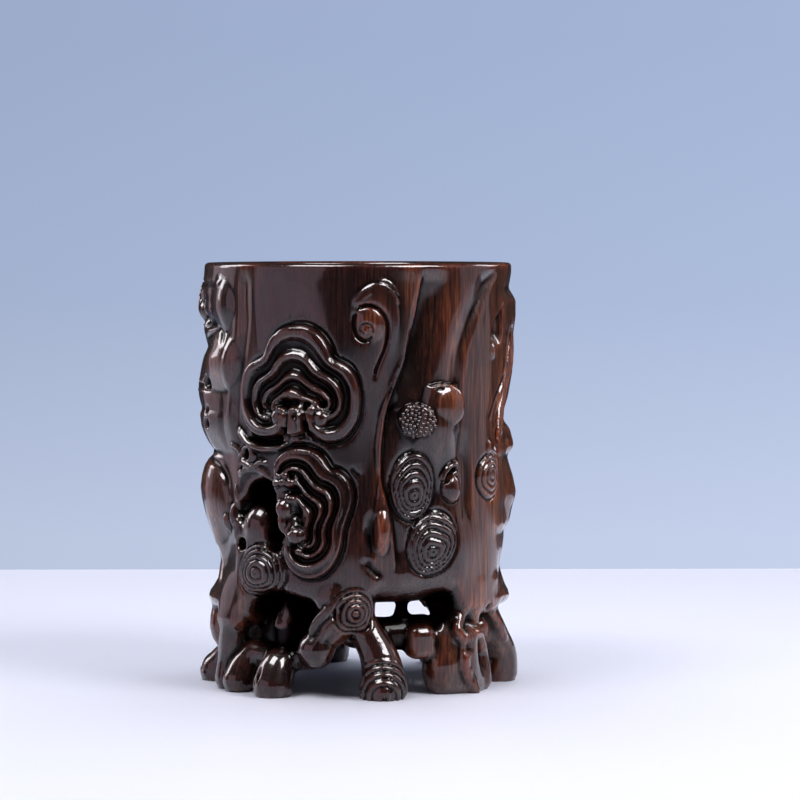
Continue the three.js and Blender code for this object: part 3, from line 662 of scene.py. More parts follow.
# Dark recess between the roots under the left knot, open between the wall, the toes and the runner root.
cut_ball(at(-33, 57.5, 30), 8.4, 4.0, (1.25, 1.0, 0.95))
cut_ball(at(-22.5, 57.5, 28), 5.0, 2.0, (1.2, 1.7, 1.3))

ROOTS = [
    # a faceted root that comes down inside the recess
    [(-30, 47, 40, 3.4), (-30.5, 48.4, 33, 3.6), (-31, 49.2, 27, 4.0), (-31.5, 49.6, 21, 4.2)],
    # front foot
    [(-2, 50, 36, 5.5), (0, 50.5, 30.5, 5.4), (2.6, 50.6, 24.5, 6.0), (5.8, 51, 19, 6.8), (7.8, 51.6, 13.5, 7.9), (8.6, 53.2, 8, 8.8), (8.9, 54.2, 4.5, 9.4)],
    # right root: the limb that its block grows from, the orange one behind it and its toes
    [(46, 49, 42, 6.5), (43.5, 49.4, 32, 6.0), (42, 48.6, 22, 6.4), (42.5, 48.4, 10, 6.4)],
    [(52, 51, 40, 6), (50.5, 52, 32, 4.6), (50, 52.6, 26, 3.8), (51, 52.8, 22, 3.4)],
    [(52, 53.2, 23, 2.6), (56, 53.4, 18.5, 2.8), (57, 53, 12, 3.6), (56.6, 52.6, 4, 5.4)],
    [(46.4, 53.6, 21, 2.2), (47, 53.8, 15, 2.4), (49.4, 53.6, 8, 3.8), (50.4, 52.8, 3, 5.4)],
    [(62, 49, 40, 8), (69, 50, 30, 5.0), (76, 52.4, 20, 5.0), (82, 54.2, 11, 6.2), (84, 53.4, 4, 7.6)],
    # left toes
    [(-32.4, 50.2, 13, 5.8), (-33.2, 54.0, 10, 6.8), (-33.6, 56.6, 4, 7.6)],
    [(-50, 50, 14, 5.0), (-52.2, 53.4, 9, 5.6), (-52.8, 55.6, 4, 6.2)],
    [(-55.5, 45.5, 52, 6), (-55.8, 49.4, 43, 5.2), (-56.2, 51.6, 35, 5.0), (-57.2, 53.6, 27.5, 5.4), (-58.8, 54.2, 20, 5.6), (-61.2, 54.0, 12, 5.2), (-61.4, 54.4, 4, 6.0)],
    [(-84, 46, 44, 7.4), (-80, 49, 34, 6.2), (-77, 51.6, 22, 6.4), (-80, 49.2, 13.5, 5.2), (-86, 53, 6, 6), (-87, 53.6, 3.5, 7.6)],
    # back
    [(112, 49, 40, 9), (115, 51, 27, 6.4), (112, 53, 15, 6.0), (108.5, 54, 4, 8.6)],
    [(135, 49, 42, 9), (137, 51.5, 27, 5.8), (134, 53.5, 14, 6.4), (131.5, 54, 4, 7.8)],
    [(136, 52, 19, 4.6), (141.5, 54.5, 10, 4.4), (144.5, 54.5, 3.5, 5.6)],
    [(150, 51, 38, 5.0), (147, 52.4, 29, 3.8), (141, 53.4, 22, 3.6), (135.5, 53.6, 15, 4.6)],
    [(-167, 49, 40, 9), (-169.5, 51.5, 27, 6.0), (-166, 53, 14, 6.2), (-163.5, 54, 4, 8.0)],
    [(-142, 49, 42, 9), (-144.5, 51.5, 27, 6.0), (-142, 53.5, 13, 6.8), (-139.5, 54, 4, 7.8)],
    [(-145, 52, 17, 4.6), (-150, 54.2, 9, 4.6), (-152.5, 54.5, 3.5, 5.6)],
    [(-128, 51, 38, 5.0), (-131.5, 52.6, 29, 3.8), (-137, 53.4, 21, 3.8), (-141, 53.6, 14, 4.6)],
    [(-114, 49, 42, 9), (-112, 51.5, 27, 6.0), (-115, 53, 14, 6.4), (-117.5, 54, 4, 8.2)],
    [(-113, 52.4, 21, 4.2), (-108, 54, 11, 4.2), (-105.5, 54.4, 3.5, 5.2)],
]
RUNNERS = [
    # the front runner root, from the knot with rings down to the hanging lobe
    [(-2, 50.5, 34, 7.4), (-6, 52, 30.5, 7.8), (-10.5, 52.6, 26, 6.8), (-14, 53.2, 22, 5.7), (-16.4, 54.0, 17.8, 6.2)],
    # its shoulder, the ridge that runs from it to the recess, and the second ridge under it
    [(-5, 52, 42, 3.6), (-9.5, 55.0, 38.4, 4.6), (-12.5, 55.2, 35.4, 3.6)],
    [(-5.4, 58.6, 37, 1.9), (-10.8, 59.0, 33, 1.9), (-14.4, 58.6, 29.2, 1.9), (-16.8, 57.4, 25.4, 1.8)],
    [(-9.4, 58.8, 28.6, 1.5), (-12.2, 59.0, 25.2, 1.6), (-14.4, 58.6, 21.2, 1.5)],
    # the dark beam behind the window and its strut
    [(-2, 42.4, 23.6, 6.4), (10, 42.4, 22.4, 6.4), (20, 42.4, 22.6, 6.4), (32, 43, 22.6, 6.6)],
    [(20.0, 43.0, 25, 3.4), (20.4, 43.6, 31, 2.3), (20.8, 44.6, 37, 2.4)],
    [(20.6, 43.4, 30, 2.0), (25, 43.2, 26.6, 2.4), (30, 43, 24.6, 3.0)],
    # the overhang at the window's right end
    [(37, 47.5, 33.5, 4.0), (41, 47.5, 31.5, 5.5), (45, 48, 31, 6.0)],
    # the shelf over the left toes
    [(-58, 50.2, 14.6, 4.4), (-49, 50.2, 14.2, 4.2), (-40, 49.6, 13.6, 4.2), (-30, 49.6, 13.2, 4.2), (-20, 50, 14.6, 4.8)],
    # the bright ridge down the front of the right root, and the lit rim of its hollow
    [(46.6, 51.6, 38, 1.9), (45.4, 52.6, 33.6, 2.0), (41.8, 54.8, 28, 1.9), (39.2, 56.8, 24.0, 1.8), (42.0, 58.0, 19, 1.8), (41.6, 58.2, 10, 1.8), (46.4, 58.8, 1, 1.8)],
    [(44.0, 57.6, 21.0, 1.4), (48.0, 57.6, 22.2, 1.5), (52.6, 56.0, 20.6, 1.6), (55.0, 55.4, 16.0, 1.6)],
    [(66, 53.4, 29, 1.5), (71, 55.4, 23, 1.6), (74.5, 56.6, 17.5, 1.4)],
    [(66, 48, 22, 5), (76, 48, 18, 5), (84, 50, 18, 5)],
    [(84, 50, 18, 5.5), (98, 49, 17, 5.5), (113, 49, 18, 5.5)],
    [(113, 49, 18, 5.5), (124, 49, 17, 5.5), (134, 49, 18, 5.5)],
    [(-167, 49, 18, 5.5), (-155, 49, 17, 5.5), (-142, 49, 18, 5.5)],
    [(-114, 49, 18, 5.5), (-100, 49, 17, 5.5), (-88, 50, 18, 5.5)],
]
for r in ROOTS:
    add_limb(r, 2.0, 20)
# the flat-fronted right root, its foot, and the small runner at its left
add_block((34.8, -37.8, 12), 14, (9.2, 5.8, 13.2), 5.0, 3.5)
add_ball((31.6, -37.6, 9.5), 8.6, 3.5, (1.0, 0.86, 1.15))
add_block((22.2, -42.4, 19.8), 16, (5.6, 5.4, 6.6), 4.4, 2.4)
# the pillar's flat flaring front
add_block(at(-57.0, 54.0, 34), -59, (6.8, 3.5, 10.5), 3.0, 3.2, 16)
for r in RUNNERS:
    add_limb(r, 1.6, 20)
# The knob with rings stands free of the wall above it, and the runner ends in a round lobe.
add_ball(at(-2.0, 51.6, 34.2), 9.4, 0.8, (0.80, 0.98, 1.10))
add_ball(at(-16.4, 54.4, 17.8), 6.9, 1.2)
# A round knuckle inside the recess.
add_ball(at(-30.2, 46.6, 24.4), 7.0, 1.5, (1, 1, 1.1))
add_block(at(-32.0, 50.8, 27.2), -24, (3.0, 2.4, 3.2), 0.8, 0.8, 31)
# Hollows and splits of the feet.
cut_ball((43.6, -46.6, 17.4), 5.4, 0.8, (1.0, 1.0, 0.85))
cut_limb([(27.6, 57.2, 29, 0.8), (27.8, 57.0, 22, 1.1), (27.0, 56.4, 15, 1.0)], 1.2)
cut_ball(at(57, 58.6, 29), 2.4, 0.8, (1.0, 1.2, 1.6))
cut_limb([(53.6, 58.6, 10, 1.0), (54.0, 59.0, 4, 1.4), (54.2, 59.2, -2, 1.6)], 0.8)
cut_limb([(45.6, 61.4, 13, 0.8), (44.6, 61.0, 8, 1.2), (42.6, 61.0, 3, 0.8)], 0.8)
cut_limb([(-57.0, 59.6, 15, 0.8), (-57.4, 59.0, 10, 0.9), (-57.6, 59.0, -2, 1.1)], 0.8)
cut_limb([(-43.6, 60.2, 17, 1.2), (-43.4, 58.8, 10, 2.2), (-43.4, 58.4, -2, 2.6)], 0.8)
cut_ball(at(-36.0, 62.2, 8.5), 1.5, 0.8, (0.6, 1, 2.8))
cut_ball(at(-4.8, 58, 10), 7.2, 1.2, (0.92, 2.0, 1.42))
cut_limb([(-5.4, 61.8, 45.4, 0.8), (-1.6, 61.6, 46.0, 1.1), (3.2, 61.2, 44.2, 1.5), (6.4, 60.6, 39.6, 1.8), (7.8, 59.6, 33, 1.8), (7.4, 59, 27, 1.4)], 0.8)


def rings(c, reach, pitch, depth, start=0.0):
    """Growth rings round a point, cut into whatever is near."""
    c = np.array(c, float)
    where, x, y, z = box_of(c - reach, c + reach)
    q = np.sqrt((x - c[0]) ** 2 + (y - c[1]) ** 2 + (z - c[2]) ** 2)
    fade = smooth((reach - q) / (0.25 * reach)) * smooth((q - start) / 1.0)
    near = np.abs(field[where]) < 4
    fr = q / pitch - np.floor(q / pitch)
    field[where] += np.where(near, depth * (1 - np.abs(np.sin(math.pi * fr)) ** 0.7) * fade, 0).astype(np.float32)


rings(at(-0.9, 61, 31.6), 11.2, 2.1, 1.2)
rings(at(8.4, 60.0, 2.0), 15, 2.3, 1.3, start=1.5)
rings(at(108.5, 62, 3), 14, 2.6, 1.0, start=3.0)
rings(at(-139.5, 61, 3), 13, 2.6, 1.0, start=3.0)
rings(at(-163.5, 61, 16), 8, 2.2, 0.9)

# The bore down to the ledge that carries the floor board, and the open space under it.
for k, zz in enumerate(zs):
    f = field[:, :, k]
    edge = max(0.0, zz - (HEIGHT - 1.2))
    f = np.maximum(f, -np.maximum(RR - (BORE_R + 0.9 * edge**2 / 1.2), LEDGE_TOP - zz))
    if zz < LEDGE_TOP + 1:
        f = np.maximum(f, LEDGE_R - RR)
    f = np.maximum(f, -zz)
    field[:, :, k] = f


def surface_net(f, origin, vox):
    """A quad mesh of the field's zero surface: one vertex in each crossed cell."""
    inside = f < 0
    c = [inside[i:i - 1 or None, j:j - 1 or None, k:k - 1 or None] for i in (0, 1) for j in (0, 1) for k in (0, 1)]
    total = sum(x.astype(np.uint8) for x in c)
    active = (total > 0) & (total < 8)
    cells = np.argwhere(active)
    index = np.full(active.shape, -1, np.int32)
    index[active] = np.arange(len(cells), dtype=np.int32)
    v = {}
    for i in (0, 1):
        for j in (0, 1):
            for k in (0, 1):
                v[i, j, k] = f[cells[:, 0] + i, cells[:, 1] + j, cells[:, 2] + k]
    acc = np.zeros((len(cells), 3))
    cnt = np.zeros(len(cells))
    corners = list(v)
    for a in corners:
        for axis in range(3):
            if a[axis]:
                continue
            b = tuple(1 if q == axis else a[q] for q in range(3))
            va, vb = v[a], v[b]
            m = (va < 0) != (vb < 0)
            t = va[m] / (va[m] - vb[m])
            p = np.tile(np.array(a, float), (m.sum(), 1))
            p[:, axis] += t
            acc[m] += p
            cnt[m] += 1
    pos = (cells + acc / cnt[:, None]) * vox + origin
    quads = []
    for axis in range(3):
        u, w_ = (axis + 1) % 3, (axis + 2) % 3
        sl0 = [slice(1, -1)] * 3
        sl0[axis] = slice(0, -1)
        sl1 = list(sl0)
        sl1[axis] = slice(1, None)
        a, b = inside[tuple(sl0)], inside[tuple(sl1)]
        for flip, m in ((False, a & ~b), (True, ~a & b)):
            e = np.argwhere(m)
            base = e.copy()
            base[:, u] += 1
            base[:, w_] += 1
            base[:, axis] = e[:, axis]

            def cell(du, dw):
                q = base.copy()
                q[:, u] += du
                q[:, w_] += dw
                return index[q[:, 0], q[:, 1], q[:, 2]]

            q = np.stack([cell(-1, -1), cell(0, -1), cell(0, 0), cell(-1, 0)], 1)
            quads.append(q[:, ::-1] if flip else q)
    return pos, np.concatenate(quads)


def biggest(co, faces):
    """The largest connected body: specks of the field are not part of the carving."""
    label = np.arange(len(co))
    a = faces.ravel()
    b = np.roll(faces, 1, axis=1).ravel()
    while True:
        la, lb = label[a], label[b]
        low = np.minimum(la, lb)
        new = label.copy()
        np.minimum.at(new, la, low)
        np.minimum.at(new, lb, low)
        for _ in range(3):
            new = new[new]
        if (new == label).all():
            break
        label = new
    names, counts = np.unique(label, return_counts=True)
    keep = label == names[counts.argmax()]
    faces = faces[keep[faces].all(1)]
    number = np.cumsum(keep) - 1
    return co[keep], number[faces]


class Fabric:
    """Neighbour averages over a quad mesh."""

    def __init__(self, co, faces):
        self.a = faces.ravel()
        self.b = np.roll(faces, -1, axis=1).ravel()
        self.count = np.maximum(np.bincount(self.a, minlength=len(co)), 1)
        self.faces = faces

    def mean(self, v):
        return np.stack([np.bincount(self.a, weights=v[self.b, i], minlength=len(v)) / self.count for i in range(v.shape[1])], 1)

    def normals(self, co):
        f = self.faces
        nrm = np.cross(co[f[:, 2]] - co[f[:, 0]], co[f[:, 3]] - co[f[:, 1]])
        out = np.stack([np.bincount(f.ravel(), weights=np.repeat(nrm[:, i], 4), minlength=len(co)) for i in range(3)], 1)
        return out / np.maximum(np.linalg.norm(out, axis=1), 1e-9)[:, None]


pos, quads = surface_net(field, np.array([-lim + VOX / 2, -lim + VOX / 2, -3.0 + VOX / 2]), VOX)
del field
quads = quads[(quads >= 0).all(1)]
pos, quads = biggest(pos, quads)
cloth = Fabric(pos, quads)
base_z = pos[:, 2].copy()
for share in (0.55, -0.35, 0.4):
    pos = pos + share * (cloth.mean(pos) - pos)
pos[:, 2] = np.where(base_z < VOX * 0.6, 0.0, np.maximum(pos[:, 2], 0.0))


def cube_ball(n):
    """A round ball of quads: a cube's faces, split n ways and pushed out."""
    co, faces = [], []
    t = np.tan((np.arange(n + 1) / n - 0.5) * math.pi / 2)
    for axis in range(3):
        for sign in (-1, 1):
            base = len(co)
            for a in t:
                for b in t:
                    p = np.zeros(3)
                    p[axis], p[(axis + 1) % 3], p[(axis + 2) % 3] = sign, a, b
                    co.append(p / np.linalg.norm(p))
            for i in range(n):
                for j in range(n):
                    q = [base + i * (n + 1) + j, base + (i + 1) * (n + 1) + j, base + (i + 1) * (n + 1) + j + 1, base + i * (n + 1) + j + 1]
                    faces.append(q if sign > 0 else q[::-1])
    _, first, same = np.unique(np.round(np.array(co), 5), axis=0, return_index=True, return_inverse=True)
    return np.array(co)[first], same.ravel()[np.array(faces)]


# The seeds are too small for the field, so they are set into the disc as round grains.
ball_co, ball_faces = cube_ball(5)
for s_, z_, rad in SEEDS:
    top_r = float(R.look(np.array([s_]), np.array([z_]))[0])
    grain = ball_co * rad + at(s_, top_r - 0.12, z_)
    quads = np.concatenate([quads, ball_faces + len(pos)])
    pos = np.concatenate([pos, grain])
cloth = Fabric(pos, quads)

# How far each point lies in a hollow (+) or on a crest (-), at two sizes, for the wax and wear and for painted shade in
# the hollows.
nrm = cloth.normals(pos)
calm_pos = pos
for i in range(int(round(1.6 / VOX**2))):
    calm_pos = cloth.mean(calm_pos)
fine_cup = ((calm_pos - pos) * nrm).sum(1)
for i in range(int(round(14 / VOX**2))):
    calm_pos = cloth.mean(calm_pos)
broad_cup = ((calm_pos - pos) * nrm).sum(1)


def make_mesh(name, co, faces):
    me = bpy.data.meshes.new(name)
    me.vertices.add(len(co))
    me.vertices.foreach_set("co", (co / 1000.0).astype(np.float32).ravel())
    me.loops.add(faces.size)
    me.loops.foreach_set("vertex_index", faces.astype(np.int32).ravel())
    me.polygons.add(len(faces))
    me.polygons.foreach_set("loop_start", np.arange(0, faces.size, 4, dtype=np.int32))
    me.polygons.foreach_set("loop_total", np.full(len(faces), 4, np.int32))
    me.polygons.foreach_set("use_smooth", np.ones(len(faces), bool))
    me.update(calc_edges=True)
    me.validate()
    ob = bpy.data.objects.new(name, me)
    scene.collection.objects.link(ob)
    return ob


# Where the wood is redder and browner, and the painted shade where it lies deep in a hollow or recess, behind the
# window or under the overhang.
vs, vz = np.arctan2(pos[:, 0], -pos[:, 1]) * REF_R, pos[:, 2]
warm = np.full(len(pos), 0.03)
for s_, z_, ws, wz, k_ in [
    (68, 100, 26, 90, 1.0), (35, 128, 10, 34, 0.65), (19, 151, 7, 12, 0.5), (60, 50, 22, 30, 0.65),
    (-45, 140, 4, 28, 0.5), (-76, 62, 16, 28, 1.0), (-76, 25, 12, 16, 0.6), (-62, 119, 9, 9, 0.55), (-49, 33, 4, 14, 0.45),
    (8, 84, 3, 30, 0.45), (5, 140, 7, 9, 0.4), (8, 60, 5, 14, 0.45), (36, 14, 13, 16, 0.36), (49, 32, 4, 12, 0.8), (20, 19, 7, 7, 0.45), (-2, 34, 12, 12, 0.2),
    (-8, 20, 5, 8, 0.5), (-44, 156, 8, 8, 0.35), (-24, 112, 26, 26, 0.12), (-12, 66, 8, 22, 0.2), (34, 112, 8, 8, 0.4), (-56, 12, 9, 10, 0.2),
    (120, 70, 26, 70, 0.6), (-150, 100, 22, 60, 0.4), (176, 130, 20, 40, 0.35), (-112, 110, 14, 50, 0.4),
]:
    ds_ = (vs - s_ + TURN / 2) % TURN - TURN / 2
    warm += k_ * np.exp(-((ds_ / ws) ** 2) * 1.6 - (((vz - z_) / wz) ** 2) * 1.6)
warm = np.clip(warm, 0, 1)
# shade is painted shade, 0 to 1: the material darkens the colour and takes the polish off with it
shade = np.zeros(len(pos))
from_axis = np.hypot(pos[:, 0], pos[:, 1])
for c_, r_, edge_, span_ in ((at(-31, 50, 28), 18.0, 56.2, 3.0), (at(-38, 52, 69), 15.0, 56.0, 3.5), (at(14, 43, 27), 18.0, 54.0, 8.0), (at(29, 43, 28), 15.0, 54.0, 8.0), (at(34, 50, 33), 9.5, 60.0, 3.0)):
    q = np.linalg.norm((pos - c_) / r_, axis=1)
    shade = np.maximum(shade, smooth((1.0 - q) / 0.35) * smooth((edge_ - from_axis) / span_))
# the painted shade spares the knuckle inside the recess, which keeps its polish
shade *= 1 - smooth((4.2 - np.linalg.norm(pos - at(-32.0, 52.8, 28.4), axis=1)) / 1.0)
# the painted shade also takes the warmth out of the wood's colour
warm *= 1 - 0.8 * shade

trunk = make_mesh("carved_trunk_surface", pos, quads)
for name, values in (("fine_cup", fine_cup), ("broad_cup", broad_cup), ("warm", warm), ("shade", shade)):
    layer = trunk.data.attributes.new(name, "FLOAT", "POINT")
    layer.data.foreach_set("value", values.astype(np.float32))
print("QUADS", len(trunk.data.polygons), "cup", np.percentile(fine_cup, [1, 5, 50, 95, 99]).round(3), np.percentile(broad_cup, [1, 5, 50, 95, 99]).round(3))
thin = trunk.modifiers.new("thin", "DECIMATE")
thin.ratio = 0.36
solid = bpy.data.meshes.new_from_object(trunk.evaluated_get(bpy.context.evaluated_depsgraph_get()))
trunk.modifiers.clear()
trunk.data = solid
trunk.data.polygons.foreach_set("use_smooth", np.ones(len(trunk.data.polygons), bool))
print("FACES", len(trunk.data.polygons))

# ---------------------------------------------------------------- materials


def wood(name, cold, warm, rough, coat, bump_h, cupped=False):
    m = bpy.data.materials.new(name)
    m.use_nodes = True
    nt = m.node_tree
    N, L = nt.nodes, nt.links
    b = N["Principled BSDF"]
    tc = N.new("ShaderNodeTexCoord")
    mp = N.new("ShaderNodeMapping")
    mp.inputs["Scale"].default_value = (1.0, 1.0, 0.045)
    L.new(tc.outputs["Object"], mp.inputs["Vector"])

    def noise(scale, detail, rgh=0.6, dist=0.0, src=mp):
        t = N.new("ShaderNodeTexNoise")
        t.inputs["Scale"].default_value = scale
        t.inputs["Detail"].default_value = detail
        t.inputs["Roughness"].default_value = rgh
        t.inputs["Distortion"].default_value = dist
        L.new(src.outputs[0] if src is mp else src.outputs["Object"], t.inputs["Vector"])
        return t

    broad = noise(190, 4, 0.55, 0.4)
    fine = noise(1150, 5, 0.62, 0.15)
    pores = noise(2600, 3, 0.7)
    patch = noise(30, 3, 0.5, 0.3, tc)

    def ramp(src, stops):
        r = N.new("ShaderNodeValToRGB")
        el = r.color_ramp.elements
        el[0].position, el[0].color = stops[0][0], (*stops[0][1], 1)
        el[1].position, el[1].color = stops[-1][0], (*stops[-1][1], 1)
        for p, c in stops[1:-1]:
            e = el.new(p)
            e.color = (*c, 1)
        L.new(src.outputs["Fac"], r.inputs["Fac"])
        return r

    def mul(a, c):
        x = N.new("ShaderNodeMix")
        x.data_type, x.blend_type = "RGBA", "MULTIPLY"
        x.inputs["Factor"].default_value = 1.0
        L.new(a, x.inputs["A"])
        L.new(c, x.inputs["B"])
        return x.outputs["Result"]

    def grain(colors):
        return ramp(fine, list(zip((0.32, 0.46, 0.58, 0.72), colors))).outputs["Color"]

    bands = ramp(broad, [(0.34, (0.62, 0.60, 0.60)), (0.5, (1.0, 1.0, 1.0)), (0.66, (1.4, 1.38, 1.3))]).outputs["Color"]
    pat = ramp(patch, [(0.36, (0.66, 0.63, 0.63)), (0.66, (1.25, 1.22, 1.2))]).outputs["Color"]
    col = grain(warm)
    if cupped:
        # the heartwood is nearly black, with redder and browner wood in places
        at_ = N.new("ShaderNodeAttribute")
        at_.attribute_name = "warm"
        x = N.new("ShaderNodeMix")
        x.data_type = "RGBA"
        L.new(at_.outputs["Fac"], x.inputs["Factor"])
        L.new(grain(cold), x.inputs["A"])
        L.new(col, x.inputs["B"])
        col = x.outputs["Result"]
    col = mul(mul(col, bands), pat)
    if cupped:
        # the furrows darker, partly wax and dirt and partly painted shade, and the crests worn redder; the broad
        # hollows darker as painted shade and the broad swells lighter; the painted shade mask darkens its places nearly
        # to black
        for layer, lo, hi, stops in (
            ("fine_cup", -0.10, 0.10, [(0.0, (1.6, 1.25, 1.1)), (0.5, (1.0, 1.0, 1.0)), (1.0, (0.22, 0.16, 0.16))]),
            ("broad_cup", -1.0, 1.0, [(0.0, (1.4, 1.2, 1.1)), (0.5, (1.0, 1.0, 1.0)), (1.0, (0.22, 0.17, 0.17))]),
            ("shade", -1.0, 1.0, [(0.0, (1.0, 1.0, 1.0)), (0.5, (1.0, 1.0, 1.0)), (1.0, (0.06, 0.05, 0.05))]),
        ):
            at_ = N.new("ShaderNodeAttribute")
            at_.attribute_name = layer
            mr = N.new("ShaderNodeMapRange")
            mr.inputs["From Min"].default_value = lo
            mr.inputs["From Max"].default_value = hi
            L.new(at_.outputs["Fac"], mr.inputs["Value"])
            r = N.new("ShaderNodeValToRGB")
            el = r.color_ramp.elements
            el[0].position, el[0].color = stops[0][0], (*stops[0][1], 1)
            el[1].position, el[1].color = stops[2][0], (*stops[2][1], 1)
            e = el.new(stops[1][0])
            e.color = (*stops[1][1], 1)
            L.new(mr.outputs["Result"], r.inputs["Fac"])
            col = mul(col, r.outputs["Color"])
    L.new(col, b.inputs["Base Color"])
    rr = N.new("ShaderNodeMapRange")
    rr.inputs["To Min"].default_value = rough - 0.07
    rr.inputs["To Max"].default_value = rough + 0.1
    L.new(fine.outputs["Fac"], rr.inputs["Value"])
    L.new(rr.outputs["Result"], b.inputs["Roughness"])
    b.inputs["Specular IOR Level"].default_value = 0.08
    b.inputs["Coat Weight"].default_value = coat
    if cupped:
        # less polish in the bottoms of the furrows and the broad hollows, partly wax and dirt and partly painted shade,
        # and none under the painted shade mask, so no reflection shows there
        polish = None
        for layer, lo, hi, least in (("fine_cup", 0.020, 0.12, 0.22), ("broad_cup", 0.35, 1.3, 0.35), ("shade", 0.0, 1.0, 0.0)):
            at_ = N.new("ShaderNodeAttribute")
            at_.attribute_name = layer
            mr = N.new("ShaderNodeMapRange")
            mr.inputs["From Min"].default_value, mr.inputs["From Max"].default_value = lo, hi
            mr.inputs["To Min"].default_value, mr.inputs["To Max"].default_value = 1.0, least
            L.new(at_.outputs["Fac"], mr.inputs["Value"])
            if polish is None:
                polish = mr.outputs["Result"]
            else:
                x = N.new("ShaderNodeMath")
                x.operation = "MULTIPLY"
                L.new(polish, x.inputs[0])
                L.new(mr.outputs["Result"], x.inputs[1])
                polish = x.outputs[0]
        L.new(polish, b.inputs["Coat Weight"])
        # the base's own reflection follows the polish, so the painted shade dulls it too
        x = N.new("ShaderNodeMapRange")
        x.inputs["To Max"].default_value = 0.08
        L.new(polish, x.inputs["Value"])
        L.new(x.outputs["Result"], b.inputs["Specular IOR Level"])
    b.inputs["Coat Roughness"].default_value = 0.09
    b.inputs["Coat IOR"].default_value = 1.5
    bp = N.new("ShaderNodeBump")
    bp.inputs["Strength"].default_value = 0.35
    bp.inputs["Distance"].default_value = bump_h
    mix = N.new("ShaderNodeMath")
    mix.operation = "ADD"
    L.new(pores.outputs["Fac"], mix.inputs[0])
    L.new(fine.outputs["Fac"], mix.inputs[1])
    L.new(mix.outputs[0], bp.inputs["Height"])
    L.new(bp.outputs["Normal"], b.inputs["Normal"])
    return m


HEARTWOOD = [(0.0060, 0.0018, 0.0018), (0.0090, 0.0026, 0.0025), (0.0135, 0.0036, 0.0032), (0.022, 0.0058, 0.0044)]
REDWOOD = [(0.018, 0.0050, 0.0034), (0.060, 0.0180, 0.0090), (0.130, 0.0440, 0.0165), (0.220, 0.0880, 0.0310)]
carved = wood("polished_rosewood", HEARTWOOD, REDWOOD, 0.32, 1.0, 0.00012, True)
turned = wood("oiled_rosewood", HEARTWOOD, [(0.016, 0.005, 0.004), (0.045, 0.014, 0.008), (0.085, 0.027, 0.012), (0.13, 0.045, 0.018)], 0.42, 0.3, 0.00018)
trunk.data.materials.append(carved)
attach(trunk, "root")
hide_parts("carved_trunk")
for name in ("floor_board", "centre_plug"):
    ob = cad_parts[name]
    if ob.material_slots:
        for sl in ob.material_slots:
            sl.material = turned
    else:
        ob.data.materials.append(turned)

# ---------------------------------------------------------------- stage and light


def plain(name, color, rough=0.6):
    m = bpy.data.materials.new(name)
    m.use_nodes = True
    b = m.node_tree.nodes["Principled BSDF"]
    b.inputs["Base Color"].default_value = (*color, 1)
    b.inputs["Roughness"].default_value = rough
    return m


def plane(name, corners, mat):
    me = bpy.data.meshes.new(name)
    me.from_pydata(corners, [], [(0, 1, 2, 3)])
    ob = bpy.data.objects.new(name, me)
    scene.collection.objects.link(ob)
    me.materials.append(mat)
    return ob


def glow(name, stops, x_span, x_share):
    """A paper backdrop that glows, its painted light growing paler downwards and a little to the right."""
    m = bpy.data.materials.new(name)
    m.use_nodes = True
    nt = m.node_tree
    b = nt.nodes["Principled BSDF"]
    tc = nt.nodes.new("ShaderNodeTexCoord")
    sp = nt.nodes.new("ShaderNodeSeparateXYZ")
    z0, z1 = stops[0][0], stops[-1][0]
    mr = nt.nodes.new("ShaderNodeMapRange")
    mr.inputs["From Min"].default_value, mr.inputs["From Max"].default_value = z0, z1
    r = nt.nodes.new("ShaderNodeValToRGB")
    el = r.color_ramp.elements
    el[0].color, el[1].color = (*stops[0][1], 1), (*stops[-1][1], 1)
    for z, c in stops[1:-1]:
        e = el.new((z - z0) / (z1 - z0))
        e.color = (*c, 1)
    nt.links.new(tc.outputs["Object"], sp.inputs["Vector"])
    nt.links.new(sp.outputs["Z"], mr.inputs["Value"])
    nt.links.new(mr.outputs["Result"], r.inputs["Fac"])
    nt.links.new(r.outputs["Color"], b.inputs["Emission Color"])
    across = nt.nodes.new("ShaderNodeMapRange")
    across.inputs["From Min"].default_value, across.inputs["From Max"].default_value = x_span
    across.inputs["To Min"].default_value, across.inputs["To Max"].default_value = x_share
    nt.links.new(sp.outputs["X"], across.inputs["Value"])
    nt.links.new(across.outputs["Result"], b.inputs["Emission Strength"])
    b.inputs["Base Color"].default_value = (0, 0, 0, 1)
    b.inputs["Specular IOR Level"].default_value = 0.0
    return m


plane("table", [(-3, -2.2, 0), (3, -2.2, 0), (3, 0.400, 0), (-3, 0.400, 0)], plain("table_white", (0.79, 0.81, 0.935), 0.40))
# painted light: the backdrop glows by itself, paler downwards and to the right
backdrop = plane("backdrop", [(-4, 1.6, -1.5), (4, 1.6, -1.5), (4, 1.6, 3), (-4, 1.6, 3)], glow("backdrop_blue_glow", [(-0.10, (0.52, 0.59, 0.775)), (0.11, (0.392, 0.474, 0.665)), (0.34, (0.352, 0.43, 0.625))], (-0.32, 0.39), (0.95, 1.08)))
backdrop.visible_glossy = False
plane("ground", [(-6, -6, -0.4), (6, -6, -0.4), (6, 6, -0.4), (-6, 6, -0.4)], plain("ground_grey", (0.5, 0.52, 0.58), 0.9))


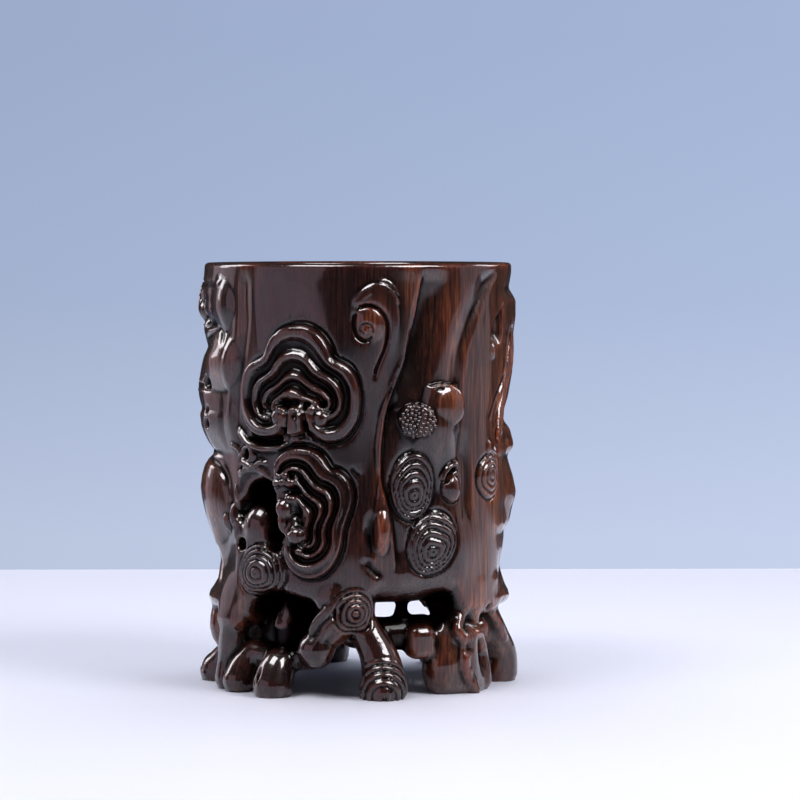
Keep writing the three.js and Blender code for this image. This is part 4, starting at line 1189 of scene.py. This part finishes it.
def area(name, loc, target, size, power, color=(1, 1, 1)):
    d = bpy.data.lights.new(name, "AREA")
    d.shape = "RECTANGLE"
    d.size, d.size_y = size
    d.energy = power
    d.color = color
    o = bpy.data.objects.new(name, d)
    o.location = loc
    o.rotation_euler = (Vector(target) - Vector(loc)).to_track_quat("-Z", "Y").to_euler()
    scene.collection.objects.link(o)
    return o


def softbox(name, azimuth, elevation, dist, size, radiance, color=(1, 1, 1)):
    """An area light aimed at the pot: azimuth 0 is the camera's side, + to the right."""
    a, e = math.radians(azimuth), math.radians(elevation)
    loc = (dist * math.sin(a) * math.cos(e), -dist * math.cos(a) * math.cos(e), 0.08 + dist * math.sin(e))
    return area(name, loc, (0, 0, 0.08), size, radiance * math.pi * size[0] * size[1], color)


# these light the table and the wood
for soft in (
    softbox("key_right", 54, 42, 1.1, (0.50, 0.54), 9.4, (1, 0.97, 0.985)),
    softbox("key_left", -47, 62, 1.1, (0.50, 0.42), 8.6, (1, 0.97, 0.99)),
    softbox("overhead", 176, 66, 1.4, (2.2, 1.5), 1.9),
):
    soft.visible_glossy = False
# these are seen in the polish
for shine in (
    softbox("box_right", 50, 44, 1.1, (0.62, 0.60), 22.0, (1, 0.97, 1.0)),
    softbox("box_left_top", -47, 60, 1.1, (0.60, 0.50), 20.0, (1, 0.97, 1.0)),
    softbox("window_left", -115, 30, 1.2, (0.40, 0.52), 9.5, (1.0, 0.96, 1.0)),
    softbox("window_right", 120, 28, 1.2, (0.30, 0.50), 8.0, (1.0, 0.96, 1.0)),
    softbox("window_low_left", -118, 12, 1.2, (0.22, 0.26), 5.0, (1.0, 0.94, 1.0)),
    softbox("panel_left", -54, 8, 1.3, (1.4, 0.9), 1.0, (1.0, 0.72, 0.88)),
    softbox("panel_right", 96, 14, 1.3, (0.8, 1.0), 0.75, (1.0, 0.76, 0.84)),
    softbox("panel_far_left", -118, 4, 1.3, (0.7, 0.7), 0.85, (1.0, 0.74, 0.85)),
):
    shine.visible_diffuse = False
world = bpy.data.worlds.new("world")
scene.world = world
world.use_nodes = True
world.node_tree.nodes["Background"].inputs["Color"].default_value = (0.95, 0.93, 1.0, 1)
world.node_tree.nodes["Background"].inputs["Strength"].default_value = 0.035
scene.view_settings.view_transform = "Standard"
